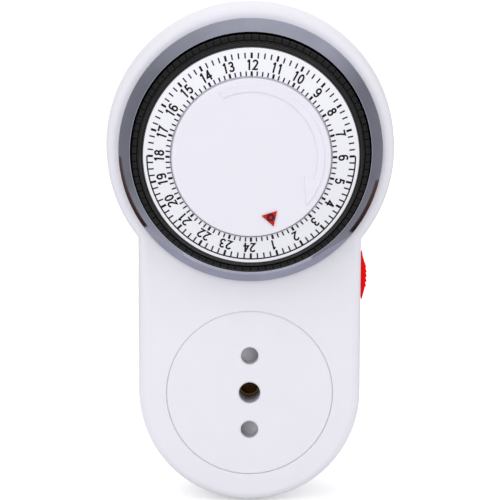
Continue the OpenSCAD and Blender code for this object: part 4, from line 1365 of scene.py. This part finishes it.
@dataclass(frozen=True)
class Flag:
    """A card beside the object that only gloss sees, so the plating has something dark to show.

    It is a straight edge, carried round the dial's axis from one bearing to another. It shows on
    the side of the dial, and is clear from behind.
    """

    name: str
    bearings: Point2                # bearings of its two ends
    edge: tuple[Point2, Point2]     # the two ends of the straight edge, as (radius, out)
    # What it shows to gloss at either bearing, where the surround shows 1.
    shades: Point2
    tint: Colour = (1.0, 1.0, 1.0)  # its colour at shade 1
    columns: int = 17               # points along it

    def place(self, dial_up: float) -> None:
        """Hangs the card.

        Args:
            dial_up: Height of the dial's axis.
        """
        edge, bearing = np.array(self.edge), np.linspace(*self.bearings, self.columns)[None, :]
        points = circling(edge[:, :1], bearing, edge[:, 1:], dial_up)
        mesh = sheet(self.name, in_frame(points), 2, self.columns)
        fade = np.ones((2, self.columns, 4))
        fade[..., :3] = np.linspace(*self.shades, self.columns)[None, :, None] * np.array(self.tint)
        look = mesh.color_attributes.new("shade", "FLOAT_COLOR", "POINT")
        look.data.foreach_set("color", fade.ravel())
        mesh.materials.append(self.look())
        card = shown(self.name, mesh)
        card.visible_camera = card.visible_diffuse = False
        card.visible_shadow = card.visible_transmission = False
        card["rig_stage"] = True

    def look(self) -> bpy.types.Material:
        """Makes the card's material: its own light from the front, and nothing from behind.

        Returns:
            The material.
        """
        bench = Bench(self.name)
        shade = bench.add("Attribute", attribute_name="shade").outputs["Color"]
        bench.set(Base_Color=(0, 0, 0, 1), Specular_IOR_Level=0.0, Roughness=1.0,
                  Emission_Color=shade, Emission_Strength=1.0)
        mix = bench.add("MixShader", {"Fac": bench.add("NewGeometry").outputs["Backfacing"],
                                      1: bench.shader.outputs["BSDF"],
                                      2: bench.add("BsdfTransparent").outputs["BSDF"]})
        fill(bench.tree, bench.tree.nodes["Material Output"], {"Surface": mix.outputs["Shader"]})
        return bench.material


# The straight edges of the cards, as (radius, out) at either end, and the tint of the streaks.
WALL = ((90.0, -140.0), (90.0, 230.0))
LOW_WALL = ((88.0, -40.0), (88.0, 14.0))
BROWN = (1.0, 0.5, 0.36)


@dataclass
class Studio:
    """A pale floor, a white surround, soft lamps and the cards that the plating shows."""

    floor_half: float = 3.0            # half the floor's side, in metres
    floor_gap: float = 0.05            # how far the floor lies under the lowest point
    floor_tones: Point2 = (0.78, 0.8)  # the two greys of the floor's card
    floor_grain: float = 40.0          # size of its clouds
    floor_glow: float = 0.42           # what it adds where it is seen
    floor_skin: Point2 = (0.9, 0.1)    # its roughness and the strength of its gloss
    surround: float = 0.69             # what the surround gives as light, where it shows as 1
    aim: Point = (0.0, -0.03, 0.03)    # where the lamps are turned to, in the frame's metres
    lamps: tuple[Lamp, ...] = (
        Lamp("key_lamp", (-1.0, -1.5, 1.3), 2.0, 15.5),
        Lamp("fill_lamp", (1.5, -1.3, 0.6), 2.0, 9.0),
        Lamp("back_lamp", (-0.2, 1.0, 1.3), 1.2, 6.0),
    )
    flags: tuple[Flag, ...] = (
        Flag("right_wall", (-28, 26), WALL, (0.47, 0.47)),
        Flag("right_fade", (26, 52), WALL, (0.47, 1.0)),
        Flag("right_low", (-62, -28), WALL, (0.6, 0.5)),
        Flag("left_wall", (152, 202), WALL, (0.47, 0.47)),
        Flag("left_fade", (98, 152), WALL, (1.0, 0.47)),
        Flag("left_low", (202, 240), WALL, (0.5, 1.0)),
        Flag("right_streak", (-43, -18), LOW_WALL, (0.03, 0.25), BROWN),
        Flag("left_streak", (188, 221), LOW_WALL, (0.25, 0.07), BROWN),
    )

    def build(self, lowest: float, dial_up: float) -> None:
        """Sets the view, floor, surround, lamps and cards.

        Args:
            lowest: Height of the object's lowest point, in metres.
            dial_up: Height of the dial's axis.
        """
        bpy.context.scene.view_settings.view_transform = "Standard"
        View().place()
        self.floor(lowest - self.floor_gap * MM)
        self.world()
        for lamp in self.lamps:
            lamp.place(self.aim)
        for flag in self.flags:
            flag.place(dial_up)

    @staticmethod
    def seen(tree: bpy.types.NodeTree) -> Socket:
        """Adds up the rays that see the surround: from the camera, and by gloss and through glass.

        Args:
            tree: The node tree to add to.

        Returns:
            A socket that is 1 for such a ray and 0 for others.
        """
        path = add_node(tree, "LightPath", {})
        total = path.outputs["Is Camera Ray"]
        for name in ("Is Glossy Ray", "Is Transmission Ray"):
            total = add_node(tree, "Math", {0: total, 1: path.outputs[name]}, use_clamp=True).outputs[0]
        return total

    def world(self) -> None:
        """Makes the surround: white where it is seen, softer where it lights."""
        world = bpy.data.worlds.new("surround")
        world.use_nodes = True
        tree = world.node_tree
        strength = add_node(tree, "MapRange", {"Value": self.seen(tree), "To Min": self.surround,
                                               "To Max": 1.0}).outputs["Result"]
        fill(tree, tree.nodes["Background"], {"Color": (1, 1, 1, 1), "Strength": strength})
        bpy.context.scene.world = world

    def floor(self, level: float) -> None:
        """Lays the floor, a gentle grain of pale card.

        Args:
            level: Its height, in metres.
        """
        side = np.array([-self.floor_half, self.floor_half])
        mesh = sheet("floor", joined(side[:, None], side[None, :], level), 2, 2)
        bench = Bench("floor_card")
        dark, light = ((grey, grey, grey) for grey in self.floor_tones)
        glow = bench.add("Math", {0: self.seen(bench.tree), 1: self.floor_glow}, operation="MULTIPLY")
        bench.set(Roughness=self.floor_skin[0], Specular_IOR_Level=self.floor_skin[1],
                  Emission_Color=(1, 1, 1, 1), Emission_Strength=glow.outputs[0],
                  Base_Color=bench.blend(bench.noise(self.floor_grain), dark, light))
        mesh.materials.append(bench.material)
        shown("floor", mesh)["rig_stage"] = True


def main() -> None:
    """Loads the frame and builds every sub-assembly round it."""
    logging.basicConfig(level=logging.INFO, format="%(name)s: %(message)s")
    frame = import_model()
    cad_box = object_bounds()
    layout = Layout.read(frame)
    paint = Paintshop()
    Studio().build(cad_box[0][2], layout.dial_up)
    for assembly in (Casing, PlatedRing, Tappets, NumberDial, CentreCap, Outlet, Plug, Override, Works):
        assembly(layout, paint).build()


if __name__ == "__main__":
    main()
